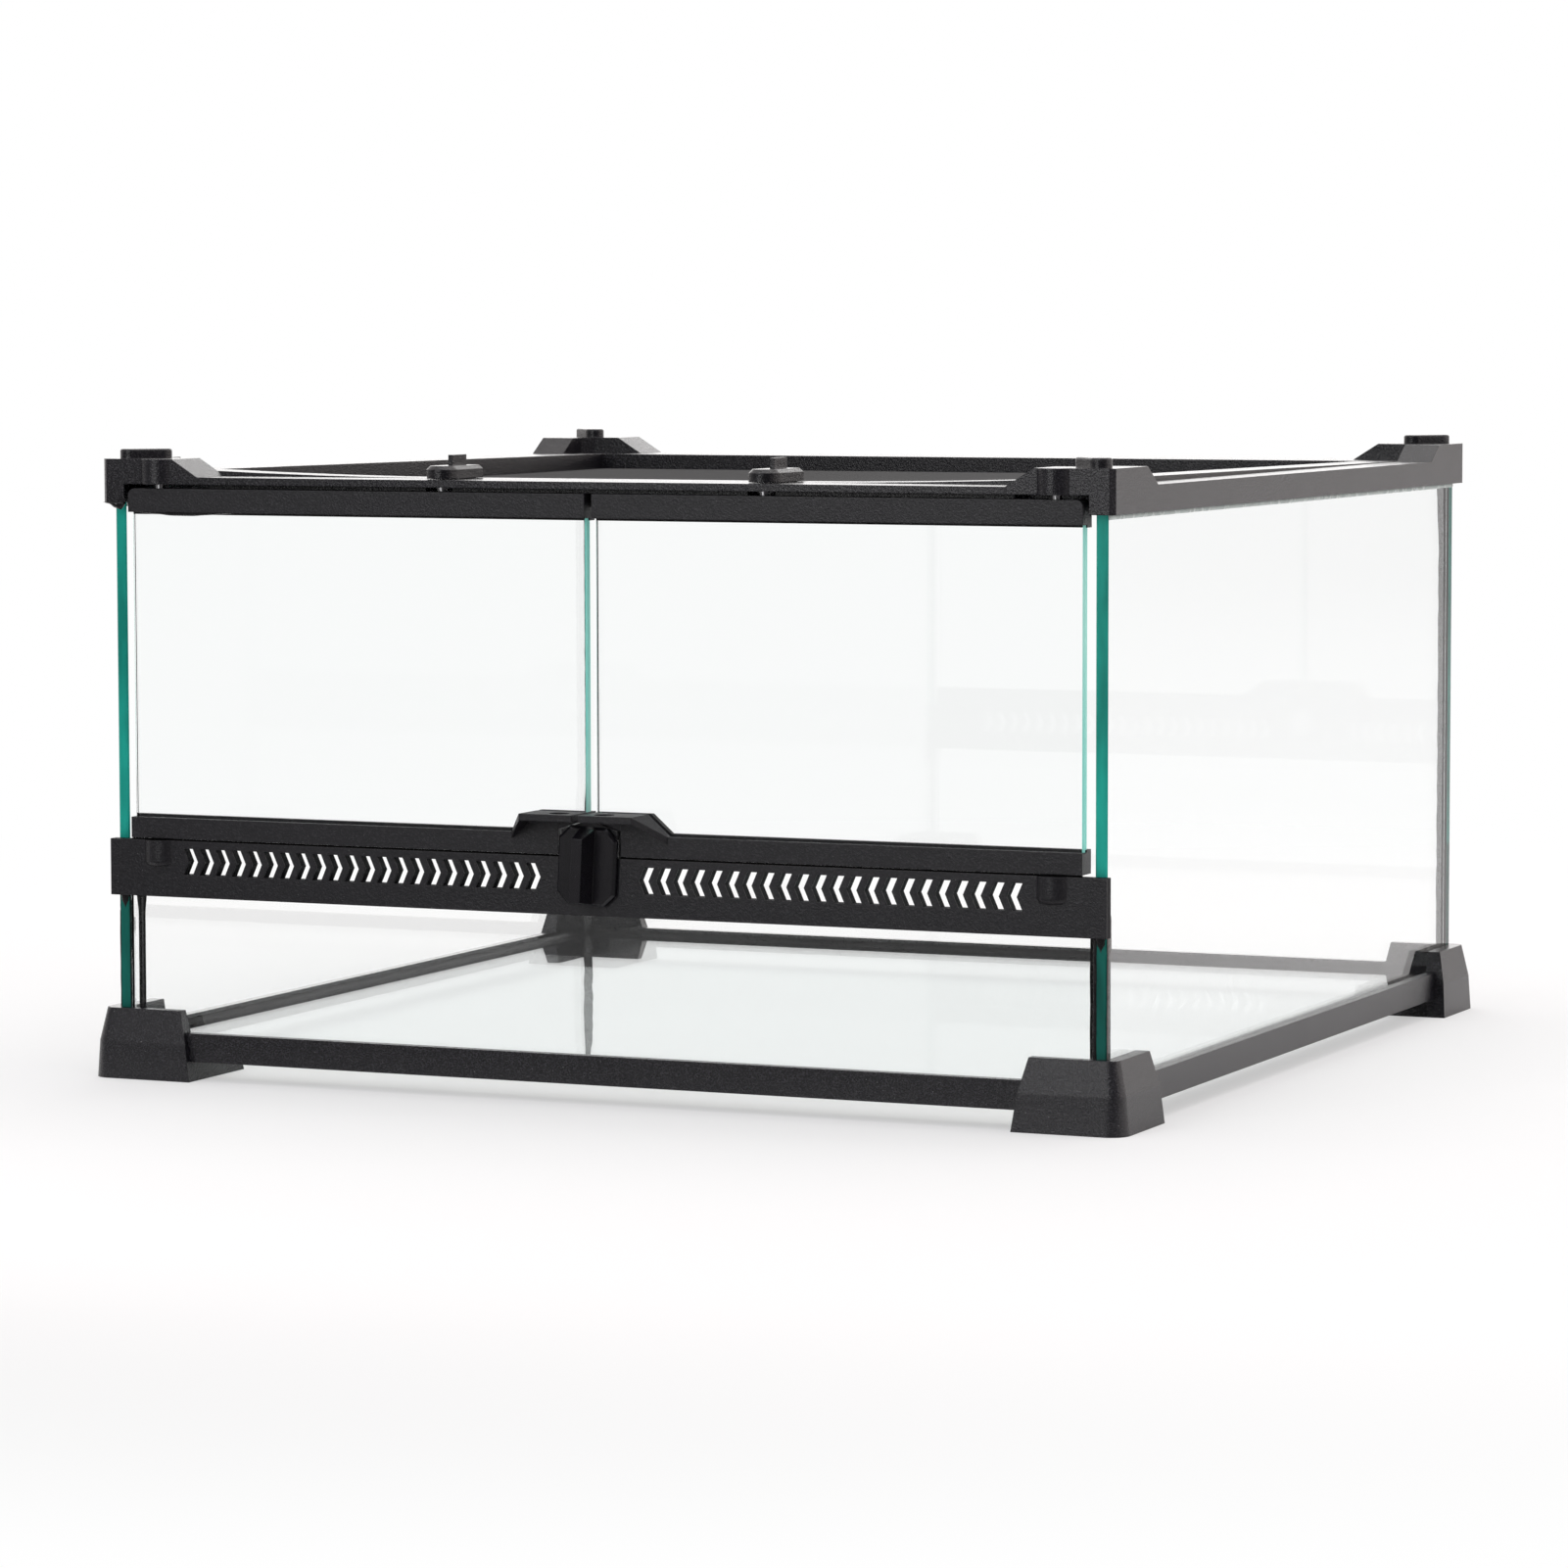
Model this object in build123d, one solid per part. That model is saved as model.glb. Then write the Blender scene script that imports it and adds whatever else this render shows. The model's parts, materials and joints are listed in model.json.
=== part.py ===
from build123d import *
import os
from math import hypot, sqrt

# Glass terrarium: four feet, bottom bars, glass panes, a front vent bar, two hinged doors,
# a quarter-turn latch, a top frame and a lift-off screen lid held by two turn clips.
# Millimetres. The front is -Y, +X is to the viewer's right, the feet stand on Z = 0.

# Overall sizes
tank_width = 450.0          # top frame, left to right
tank_depth = 452.0          # top frame, front to back
tank_height = 259.2         # floor to the top of the corner blocks

# Glass
pane = 5.0                  # side, rear, sill and floor glass thickness
pane_inset = 4.0            # outer glass face behind the top frame's outer face
door_glass = 4.0            # door glass thickness

# Feet
foot_reach_side = 6.0       # foot's side face beyond the top frame's outer face
foot_reach_front = 4.5      # foot's front or rear face beyond it
foot_length = 47.0          # side of the foot's square base
foot_base = 8.2             # thickness of the base plate under the bars
foot_ridge = 15.3           # height of the ridge round the foot
foot_top = 29.3             # height of the foot's outer walls
ridge_draft = 1.2           # outer face drawn in at the ridge
top_draft = 4.2             # outer face drawn in at the top
end_ridge_draft = 2.3       # free end drawn in at the ridge
end_top_draft = 6.0         # free end drawn in at the top
foot_round = 8.0            # rounding of the outer corner at the floor
foot_top_round = 4.5        # rounding of the outer corner at the top

# Bottom bars
bar_wall = 4.5              # outer wall thickness
bar_height = 11.9           # outer wall height
bar_ledge = 3.8             # thickness of the ledge that the glass stands on
ledge_reach = 15.0          # width of that ledge inside the outer glass face

# Front vent bar
vent_bottom = 77.0          # height of its lower edge
vent_height = 23.6          # its height
vent_wall = 4.6             # its front wall thickness
vent_overhang = 1.5         # its ends beyond the side panes' outer faces
sill_bite = 6.0             # depth of the groove on the sill glass
groove_wall = 2.5           # wall thickness of that groove
slot_height = 10.9          # chevron slot height
slot_arm = 4.3              # chevron arm width, measured level
slot_point = 2.4            # how far the chevron's tip stands out
slot_pitch = 7.56           # from one chevron to the next
slot_start = 22.0           # middle of the bar to the first tip
slot_margin = 10.9          # last tip to the hinge boss
slot_drop = 8.6             # top of the bar to the chevrons' middle

# Doors
hinge_inset = 25.3          # hinge axis inside the top frame's outer side face
hinge_radius = 2.0          # hinge pin radius
hinge_bite = 3.8            # pin length held in the rail
hinge_reach = 8.0           # pin length held in the boss
boss_radius = 7.9           # hinge boss radius
vent_boss_height = 11.0     # hinge boss height on the vent bar
vent_boss_round = 2.5       # rounding under that boss
rail_depth = 9.7            # door rail, front to back
rail_tail = 12.6            # rail beyond the hinge axis
top_rail_height = 9.8
bottom_rail_height = 8.6
rail_back_step = 1.0        # rear wall of a rail reaches further over the glass
rail_web = 4.0              # solid part of a rail under or over the glass
rail_round = 3.0            # rounded outer top corner of the top rail
door_gap = 3.2              # gap between the two doors
door_head_gap = 1.8         # top rail to the front bar
door_sill_gap = 0.8         # bottom rail to the vent bar
glass_end_gap = 0.5         # door glass short of the rail's end
shoulder_rise = 8.7         # raised inner end of the bottom rail
shoulder_length = 23.4      # its level top, from the door's free edge
shoulder_slope = 10.0       # length of its sloping end
hood_reach = 13.4           # hood in front of the rail
hood_thickness = 2.8
catch_drop = 4.1            # fall of the rail's underside over the latch, away from the middle
glass_cut_length = 28.9     # glass corner cut off over the latch, hidden in the rail
glass_cut_rise = 12.8
lock_hole_radius = 4.2      # padlock hole in each hood
lock_hole_spacing = 20.0    # from one padlock hole to the other
lock_hole_reach = 6.7       # padlock hole in front of the rail

# Latch
knob_drop = 3.2             # latch axis under the top of the vent bar
knob_half_width = 12.9
knob_half_height = 15.9
knob_corner = 4.8           # cut corners of the knob plate
knob_plate = 2.8            # plate thickness
knob_bevel = 1.0            # bevel round the plate's front
knob_tilt = 3.0             # knob's lean to the right at rest, degrees
fin_reach = 9.6             # grip fin in front of the plate
fin_base_width = 6.8
fin_front_width = 4.6
fin_up = 15.2               # fin above the axis, at the plate
fin_front_up = 11.8         # fin above the axis, at its front
fin_down = 15.2             # fin below the axis, at the plate
fin_front_down = 14.2       # fin below the axis, at its front
tab_inset = 0.5             # tab behind the plate is this much narrower at each side
tab_gap = 0.6               # tab under the doors' inner ends
notch_gap = 1.0             # doors' rails clear of the plate's sides
shaft_radius = 3.0
shaft_boss_radius = 7.0
shaft_boss_length = 8.0     # boss behind the vent bar's wall
shaft_bite = 2.0            # shaft length held in the knob plate
latch_washer_radius = 6.5
latch_washer = 1.2
latch_screw_radius = 1.5
latch_head_radius = 3.0
latch_head = 2.2
latch_screw_bite = 8.0      # screw length in the shaft

# Top frame
block_height = 18.0         # corner block, top to bottom
block_rise = 7.4            # corner block above the bars
side_bar = 16.0             # width of the side bars
front_bar = 23.5            # width of the front and rear bars
top_plate = 2.6             # thickness over the glass
front_bar_height = 3.0      # front bar over the doors
arm_x_top = 33.3            # block arm along the front, at its top
arm_x_base = 45.3           # the same at the bar
arm_y_top = 37.5            # block arm along the side, at its top
arm_y_base = 49.0           # the same at the bar
block_chamfer = 2.0         # outer vertical corner
leg_width = 10.4            # front leg beside the door, from the outer face
inner_wall = 4.0            # wall between the door space and the lid
door_stop = 3.0             # flange that the closed doors meet
stop_end_gap = 6.5          # that flange stops short of the doors' tails
skirt = 2.5                 # thin lip inside the panes
skirt_drop = 2.0            # lip below the frame
lid_ledge = 6.0             # ledge that carries the lid
lid_ledge_height = 2.0
lid_corner = 5.0            # cut corners of the lid's opening
lug_length = 22.0           # stacking lug on each corner block
lug_width = 9.0
lug_height = 4.0
lug_inset = 13.5            # its middle from both outer faces
lug_round = 1.0

# Screen lid
lid_gap = 0.5               # gap round the lid
rim_width = 17.0
rim_height = 8.3            # rim's height at the rear and at the clips
rim_lift = 2.4              # front corners stand higher
mesh_rise = 0.6             # mesh above the rim's underside
mesh_thickness = 0.8
retainer_width = 4.0
retainer_height = 1.6

# Lid clips
clip_spacing = 144.0        # from one clip to the other
clip_setback = 12.8         # clip axis behind the front bar's face
clip_width = 13.2
clip_tail = 24.0            # clip behind its axis
clip_height = 5.2
clip_chamfer = 1.5
clip_end_cut = 1.0          # cut corners of the tail
clip_fin_width = 1.9
clip_fin_length = 12.6
clip_fin_height = 4.3
clip_fin_offset = 13.0      # fin's middle behind the axis
clip_screw_radius = 1.5
clip_screw_bite = 3.6       # screw length held in the clip
clip_washer_radius = 3.0
clip_washer = 0.6
clip_head_radius = 2.6
clip_head = 2.0
clip_notch_gap = 1.0        # notch in the lid rim round the clip's tail
screw_pocket = 6.0          # half width of the gap in the door stop at a clip screw

# Silicone seams
floor_bead = 3.0            # bead height and width along the floor
front_bead = 3.6
rear_bead = 5.5

# Clearances
face_gap = 0.3              # between flat faces that move past each other
running_gap = 0.05          # radial clearance of pins and shafts

# Places worked out from the sizes above
half_width = tank_width / 2
half_depth = tank_depth / 2
glass_x = half_width - pane_inset
glass_y = half_depth - pane_inset
inner_x = glass_x - pane
inner_y = glass_y - pane

foot_x = half_width + foot_reach_side
foot_y = half_depth + foot_reach_front
bar_x = glass_x + bar_wall
bar_y = glass_y + bar_wall
bar_top = foot_base + bar_height
pane_bottom = foot_base + bar_ledge
floor_top = pane_bottom + pane

frame_bottom = tank_height - block_height
frame_top = tank_height - block_rise
pane_top = frame_top - top_plate
front_bar_bottom = frame_top - front_bar_height
lid_x = half_width - side_bar
lid_y = half_depth - front_bar
lid_corner_cut = lid_corner - lid_gap * (2 - sqrt(2))
rest_z = frame_bottom + lid_ledge_height

front = glass_y + vent_wall
vent_top = vent_bottom + vent_height
vent_x = glass_x + vent_overhang
groove_top = vent_bottom + sill_bite

hinge_x = half_width - hinge_inset
hinge_y = front - rail_depth / 2
rail_back = front - rail_depth
rail_end = hinge_x + rail_tail
door_edge = door_gap / 2
top_rail_top = front_bar_bottom - door_head_gap
top_rail_bottom = top_rail_top - top_rail_height
bottom_rail_bottom = vent_top + door_sill_gap
bottom_rail_top = bottom_rail_bottom + bottom_rail_height
shoulder_top = bottom_rail_top + shoulder_rise
hood_bottom = shoulder_top - hood_thickness
notch_edge = knob_half_width + notch_gap
door_glass_front = hinge_y + door_glass / 2
door_glass_back = hinge_y - door_glass / 2

knob_z = vent_top - knob_drop
plate_back = front + face_gap
plate_front = plate_back + knob_plate
fin_front = plate_front + fin_reach
hood_front = front + hood_reach
shaft_boss_end = glass_y - shaft_boss_length
shaft_end = shaft_boss_end - face_gap

clip_x = clip_spacing / 2
clip_y = half_depth - clip_setback
clip_bottom = frame_top + face_gap
clip_top = clip_bottom + clip_height

# The object's bounding box is centred on the origin: hoods in front, feet behind
tank_shift = (max(hood_front, fin_front) - foot_y) / 2


# A box from its spans along X, Y and Z
def slab(x, y, z):
    middle = Pos((x[0] + x[1]) / 2, (y[0] + y[1]) / 2, (z[0] + z[1]) / 2)
    return middle * Box(x[1] - x[0], y[1] - y[0], z[1] - z[0])


# A centred slab with its upright corners cut at 45 degrees
def cut_corner_slab(half_x, half_y, cut, z):
    outline = chamfer(Rectangle(2 * half_x, 2 * half_y).vertices(), cut)
    return extrude(Pos(0, 0, z[0]) * outline, amount=z[1] - z[0])


# An outline in X and Z, given depth along Y
def prism_y(outline, y):
    plane = Plane(origin=(0, y[1], 0), x_dir=(1, 0, 0), z_dir=(0, -1, 0))
    return extrude(plane * make_face(outline), amount=y[1] - y[0])


# An outline in Y and Z, given width along X
def prism_x(outline, x):
    plane = Plane(origin=(x[0], 0, 0), x_dir=(0, 1, 0), z_dir=(1, 0, 0))
    return extrude(plane * make_face(outline), amount=x[1] - x[0])


# An outline in X and Y, given height along Z
def prism_z(outline, z):
    return extrude(Pos(0, 0, z[0]) * make_face(outline), amount=z[1] - z[0])


def post(x, y, radius, z):
    return Pos(x, y, (z[0] + z[1]) / 2) * Cylinder(radius, z[1] - z[0])


# A round bar along Y on the latch axis
def spindle(radius, y):
    return Pos(0, (y[0] + y[1]) / 2, knob_z) * Rot(90, 0, 0) * Cylinder(radius, y[1] - y[0])


def across(shape):
    return mirror(shape, about=Plane.YZ)


def behind(shape):
    return mirror(shape, about=Plane.XZ)


# Feet: a drafted square block with its outer corner rounded, open inside above the base plate

def foot_section(z, outer_in, end_in, rounding):
    size = foot_length - outer_in - end_in
    middle_x = foot_x - outer_in - size / 2
    middle_y = foot_y - outer_in - size / 2
    square = Rectangle(size, size)
    corner = square.vertices().sort_by(lambda v: v.X - v.Y)[-1]
    return Pos(middle_x, -middle_y, z) * fillet(corner, rounding)


def front_right_foot():
    ridge_round = (foot_round + foot_top_round) / 2
    floor_section = foot_section(0, 0, 0, foot_round)
    ridge_section = foot_section(foot_ridge, ridge_draft, end_ridge_draft, ridge_round)
    top_section = foot_section(foot_top, top_draft, end_top_draft, foot_top_round)
    foot = loft([floor_section, ridge_section], ruled=True)
    foot += loft([ridge_section, top_section], ruled=True)
    foot -= slab((-glass_x, glass_x), (-glass_y, glass_y), (foot_base, foot_top + 1))
    foot -= slab((-bar_x, bar_x), (-bar_y, bar_y), (foot_base, bar_top))
    return foot


# Bottom bars: an outer wall and a ledge under the glass

def side_bottom_bar():
    wall = slab((glass_x, bar_x), (-bar_y, bar_y), (foot_base, bar_top))
    ledge = slab((glass_x - ledge_reach, glass_x), (-glass_y, glass_y), (foot_base, pane_bottom))
    return wall + ledge


def front_bottom_bar():
    ledge_x = glass_x - ledge_reach
    wall = slab((-glass_x, glass_x), (-bar_y, -glass_y), (foot_base, bar_top))
    ledge = slab((-ledge_x, ledge_x), (-glass_y, -glass_y + ledge_reach), (foot_base, pane_bottom))
    return wall + ledge


# Fixed glass

def side_pane():
    return slab((inner_x, glass_x), (-glass_y, glass_y), (pane_bottom, pane_top))


def rear_pane():
    return slab((-inner_x, inner_x), (inner_y, glass_y), (pane_bottom, pane_top))


def sill_pane():
    return slab((-inner_x, inner_x), (-glass_y, -inner_y), (pane_bottom, groove_top))


def floor_pane():
    return slab((-inner_x, inner_x), (-inner_y, inner_y), (pane_bottom, floor_top))


# Silicone beads in the inner corners

def upright_bead(size, top):
    corner = (inner_x, -inner_y)
    outline = Polyline(corner, (inner_x - size, -inner_y), (inner_x, -inner_y + size), close=True)
    return prism_z(outline, (floor_top + floor_bead, top))


def floor_beads():
    block = slab((-inner_x, inner_x), (-inner_y, inner_y), (floor_top, floor_top + floor_bead))
    foot_ring = Rectangle(2 * (inner_x - floor_bead), 2 * (inner_y - floor_bead))
    head_ring = Rectangle(2 * inner_x, 2 * inner_y)
    hollow = loft([Pos(0, 0, floor_top) * foot_ring, Pos(0, 0, floor_top + floor_bead) * head_ring],
                  ruled=True)
    return block - hollow


# Vent bar across the front, between the sill glass and the doors

def chevron(tip, lean):
    middle = vent_top - slot_drop
    back = tip - lean * slot_arm
    rise = slot_height / 2
    outline = Polyline(
        (tip - lean * slot_point, middle + rise),
        (tip, middle),
        (tip - lean * slot_point, middle - rise),
        (back - lean * slot_point, middle - rise),
        (back, middle),
        (back - lean * slot_point, middle + rise),
        close=True,
    )
    return prism_y(outline, (-front - 1, -glass_y + 1))


# Height of the doors' underside over the latch, at a distance from the middle
def catch_height(x):
    return hood_bottom - catch_drop * (x - door_edge) / (notch_edge - door_edge)


# Tab on top of the vent bar, which closes the space behind the latch knob
def latch_tab():
    side = knob_half_width - tab_inset
    outline = Polyline(
        (-side, vent_bottom),
        (-side, catch_height(side) - tab_gap),
        (-door_edge, hood_bottom - tab_gap),
        (door_edge, hood_bottom - tab_gap),
        (side, catch_height(side) - tab_gap),
        (side, vent_bottom),
        close=True,
    )
    return prism_y(outline, (-front, -glass_y))


def vent_boss():
    boss = post(hinge_x, -hinge_y, boss_radius, (vent_top - vent_boss_height, vent_top))
    under = boss.edges().group_by(Axis.Z)[0].filter_by(GeomType.CIRCLE)
    return fillet(under, vent_boss_round)


def vent_bar():
    wall = slab((-vent_x, vent_x), (-front, -glass_y), (vent_bottom, vent_top))
    reach = inner_x - face_gap
    groove_back = inner_y - groove_wall
    cap = slab((-reach, reach), (-glass_y, -groove_back), (groove_top, groove_top + groove_wall))
    flange = slab((-reach, reach), (-inner_y, -groove_back), (vent_bottom, groove_top))
    shaft_boss = spindle(shaft_boss_radius, (-glass_y, -shaft_boss_end))
    bar = wall + cap + flange + latch_tab() + shaft_boss
    boss = vent_boss()
    bar += boss
    bar += across(boss)
    bore = post(hinge_x, -hinge_y, hinge_radius + running_gap,
                (vent_top - hinge_reach - face_gap, vent_top + 1))
    bar -= bore
    bar -= across(bore)
    bar -= spindle(shaft_radius + running_gap, (-front - 1, -shaft_boss_end + 1))
    span = hinge_x - boss_radius - slot_margin - slot_start
    slot_count = int(span / slot_pitch) + 1
    slots = []
    for i in range(slot_count):
        tip = slot_start + i * slot_pitch
        slots.append(chevron(-tip, 1))
        slots.append(chevron(tip, -1))
    return bar - slots


# Doors, drawn for the right-hand side: glass in a top and a bottom rail

def right_door_glass():
    inner = door_edge + glass_end_gap
    outer = rail_end - glass_end_gap
    low = bottom_rail_bottom + rail_web
    high = top_rail_top - rail_web
    outline = Polyline(
        (inner, low + glass_cut_rise),
        (inner, high),
        (outer, high),
        (outer, low),
        (inner + glass_cut_length, low),
        close=True,
    )
    return prism_y(outline, (-door_glass_front, -door_glass_back))


def right_top_rail():
    length = (door_edge, rail_end)
    front_wall = slab(length, (-front, -hinge_y), (top_rail_bottom, top_rail_top))
    back_wall = slab(length, (-hinge_y, -rail_back), (top_rail_bottom - rail_back_step, top_rail_top))
    rail = front_wall + back_wall
    corner = rail.edges().filter_by(Axis.Y).group_by(Axis.Z)[-1].group_by(Axis.X)[-1]
    rail = fillet(corner, rail_round)
    hole = post(hinge_x, -hinge_y, hinge_radius, (top_rail_top - hinge_bite, top_rail_top + 1))
    return rail - right_door_glass() - hole


def shoulder_outline(start, base, drop):
    top = shoulder_top - drop
    run = door_edge + shoulder_length
    return Polyline(
        (start, base),
        (start, top),
        (run, top),
        (run + shoulder_slope, bottom_rail_top - drop),
        (run + shoulder_slope, base),
        close=True,
    )


# The bottom rail's inner end over the latch, with its lip standing out in front
def right_hood():
    end_outline = Polyline(
        (door_edge, hood_bottom),
        (door_edge, shoulder_top),
        (notch_edge, shoulder_top),
        (notch_edge, catch_height(notch_edge)),
        close=True,
    )
    inner_end = prism_y(end_outline, (-front, -rail_back)) - right_door_glass()
    run = door_edge + shoulder_length
    outside = shoulder_outline(door_edge, bottom_rail_bottom, 0)
    underside = shoulder_outline(door_edge, bottom_rail_bottom - 1, hood_thickness)
    skin = prism_y(outside, (-hood_front, -front)) - prism_y(underside, (-hood_front, -front))
    plan = Polyline(
        (door_edge, -front),
        (door_edge, -hood_front),
        (run, -hood_front),
        (run + shoulder_slope, -front),
        close=True,
    )
    lip = skin & prism_z(plan, (bottom_rail_bottom, shoulder_top))
    lip -= post(lock_hole_spacing / 2, -front - lock_hole_reach, lock_hole_radius,
                (bottom_rail_bottom, shoulder_top + 1))
    return inner_end + lip


def right_bottom_rail():
    length = (notch_edge, rail_end)
    front_wall = slab(length, (-front, -hinge_y), (bottom_rail_bottom, bottom_rail_top))
    back_wall = slab(length, (-hinge_y, -rail_back),
                     (bottom_rail_bottom, bottom_rail_top + rail_back_step))
    shoulder = prism_y(shoulder_outline(notch_edge, bottom_rail_bottom, 0), (-front, -rail_back))
    rail = front_wall + back_wall + shoulder
    rail -= right_door_glass()
    return rail - post(hinge_x, -hinge_y, hinge_radius,
                       (bottom_rail_bottom - 1, bottom_rail_bottom + hinge_bite))


def right_top_pin():
    return post(hinge_x, -hinge_y, hinge_radius,
                (top_rail_top - hinge_bite, front_bar_bottom + hinge_reach))


def right_bottom_pin():
    return post(hinge_x, -hinge_y, hinge_radius,
                (vent_top - hinge_reach, bottom_rail_bottom + hinge_bite))


# Latch: a knob with a fin on a shaft through the vent bar

def fin_section(y, width, up, down):
    middle = knob_z + (up - down) / 2
    plane = Plane(origin=(0, -y, middle), x_dir=(1, 0, 0), z_dir=(0, -1, 0))
    return plane * Rectangle(width, up + down)


def latch_knob():
    plane = Plane(origin=(0, -plate_back, knob_z), x_dir=(1, 0, 0), z_dir=(0, -1, 0))
    outline = Rectangle(2 * knob_half_width, 2 * knob_half_height)
    plate = extrude(plane * chamfer(outline.vertices(), knob_corner), amount=knob_plate)
    plate = chamfer(plate.faces().sort_by(Axis.Y)[0].edges(), knob_bevel)
    base = fin_section(plate_front, fin_base_width, fin_up, fin_down)
    tip = fin_section(fin_front, fin_front_width, fin_front_up, fin_front_down)
    fin = loft([base, tip], ruled=True)
    knob = plate + fin - spindle(shaft_radius, (-plate_back - shaft_bite, -plate_back + 1))
    return Pos(0, 0, knob_z) * Rot(0, knob_tilt, 0) * Pos(0, 0, -knob_z) * knob


def latch_shaft():
    shaft = spindle(shaft_radius, (-plate_back - shaft_bite, -shaft_end))
    return shaft - spindle(latch_screw_radius, (-shaft_end - latch_screw_bite, -shaft_end + 1))


def latch_washer_ring():
    ring = spindle(latch_washer_radius, (-shaft_end, -shaft_end + latch_washer))
    return ring - spindle(latch_screw_radius, (-shaft_end - 1, -shaft_end + latch_washer + 1))


def latch_screw():
    under_head = -shaft_end + latch_washer
    shank = spindle(latch_screw_radius, (-shaft_end - latch_screw_bite, under_head))
    return shank + spindle(latch_head_radius, (under_head, under_head + latch_head))


# Top frame, drawn whole and then parted into four bars and four corner blocks

def corner_block():
    arm_x = Polyline(
        (half_width, frame_top),
        (half_width, tank_height),
        (half_width - arm_x_top, tank_height),
        (half_width - arm_x_base, frame_top),
        close=True,
    )
    arm_y = Polyline(
        (-half_depth, frame_top),
        (-half_depth, tank_height),
        (arm_y_top - half_depth, tank_height),
        (arm_y_base - half_depth, frame_top),
        close=True,
    )
    block = prism_y(arm_x, (-half_depth, -lid_y)) + prism_x(arm_y, (lid_x, half_width))
    facet = Polyline((lid_x, -lid_y), (lid_x, lid_corner - lid_y), (lid_x - lid_corner, -lid_y), close=True)
    block += prism_z(facet, (frame_top, tank_height))
    plan = Pos(half_width - lug_inset, lug_inset - half_depth, tank_height) * Rot(0, 0, -45)
    lug = extrude(plan * SlotOverall(lug_length, lug_width), amount=lug_height)
    return block + fillet(lug.edges().group_by(Axis.Z)[-1], lug_round)


def corner_cut():
    outline = Polyline(
        (half_width + 1, -half_depth - 1),
        (half_width - block_chamfer - 1, -half_depth - 1),
        (half_width + 1, block_chamfer + 1 - half_depth),
        close=True,
    )
    return prism_z(outline, (frame_bottom - 1, tank_height + 1))


def frame_boss():
    return post(hinge_x, -hinge_y, boss_radius, (front_bar_bottom, tank_height))


def frame_bore():
    return post(hinge_x, -hinge_y, hinge_radius + running_gap,
                (front_bar_bottom - 1, front_bar_bottom + hinge_reach + face_gap))


# Flange behind the top rails, open at the clip screws and short of the doors' tails
def door_stops():
    heel = hypot(rail_tail, rail_depth / 2)
    end = hinge_x - heel - stop_end_gap
    face = rail_back - face_gap
    stop = slab((-end, end), (-face, -face + door_stop), (frame_bottom, front_bar_bottom))
    for side in (-1, 1):
        middle = side * clip_x
        stop -= slab((middle - screw_pocket, middle + screw_pocket), (-half_depth, 0),
                     (frame_bottom - 1, front_bar_bottom))
    return stop


def top_frame():
    frame = slab((-half_width, half_width), (-half_depth, half_depth), (frame_bottom, frame_top))
    frame += slab((-inner_x, inner_x), (-inner_y, inner_y), (frame_bottom - skirt_drop, frame_bottom))
    inside_x = inner_x - skirt
    inside_y = inner_y - skirt
    frame -= slab((-inside_x, inside_x), (-inside_y, inside_y), (0, frame_bottom))
    skirt_x = half_width - arm_x_base
    skirt_y = half_depth - arm_y_base
    for x in ((-half_width, -skirt_x), (skirt_x, half_width)):
        for y in ((-half_depth, -skirt_y), (skirt_y, half_depth)):
            frame -= slab(x, y, (0, frame_bottom))
    # door space under the front bar, which also clears the doors' swinging tails
    door_back = lid_y + inner_wall
    frame -= slab((-half_width, half_width), (-half_depth, -skirt_y), (0, frame_bottom))
    frame -= slab((-inner_x, inner_x), (-glass_y, -door_back), (0, front_bar_bottom))
    leg = half_width - leg_width
    frame -= slab((-leg, leg), (-half_depth - 1, -glass_y), (0, front_bar_bottom))
    frame += door_stops()
    # room for the clips' screw heads and washers
    for side in (-1, 1):
        frame -= post(side * clip_x, -clip_y, clip_washer_radius + face_gap, (0, front_bar_bottom))
    # opening for the lid, with its ledge
    rest_x = lid_x - lid_ledge
    rest_y = lid_y - lid_ledge
    frame -= cut_corner_slab(lid_x, lid_y, lid_corner, (rest_z, tank_height))
    frame -= slab((-rest_x, rest_x), (-rest_y, rest_y), (0, tank_height))
    # corners
    for place in (lambda s: s, across, behind, lambda s: across(behind(s))):
        frame += place(corner_block())
        frame -= place(corner_cut())
    for place in (lambda s: s, across):
        frame += place(frame_boss())
        frame -= place(frame_bore())
    # glass slots and clip screw holes
    frame -= side_pane()
    frame -= across(side_pane())
    frame -= rear_pane()
    for side in (-1, 1):
        frame -= post(side * clip_x, -clip_y, clip_screw_radius + running_gap,
                      (front_bar_bottom - 1, frame_top + 1))
    return frame


def frame_pieces():
    frame = top_frame()
    part_x = half_width - arm_x_base
    part_y = half_depth - arm_y_base
    far = tank_width
    tall = (0, tank_height + lug_height)
    left, middle, right = (-far, -part_x), (-part_x, part_x), (part_x, far)
    fore, centre, aft = (-far, -part_y), (-part_y, part_y), (part_y, far)
    cells = {
        "frame_corner_front_left": (left, fore),
        "frame_corner_front_right": (right, fore),
        "frame_corner_rear_left": (left, aft),
        "frame_corner_rear_right": (right, aft),
        "frame_bar_front": (middle, fore),
        "frame_bar_rear": (middle, aft),
        "frame_bar_left": (left, centre),
        "frame_bar_right": (right, centre),
    }
    return {name: frame & slab(x, y, tall) for name, (x, y) in cells.items()}


# Screen lid: a flat rim, the mesh and the strip that holds it

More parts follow.
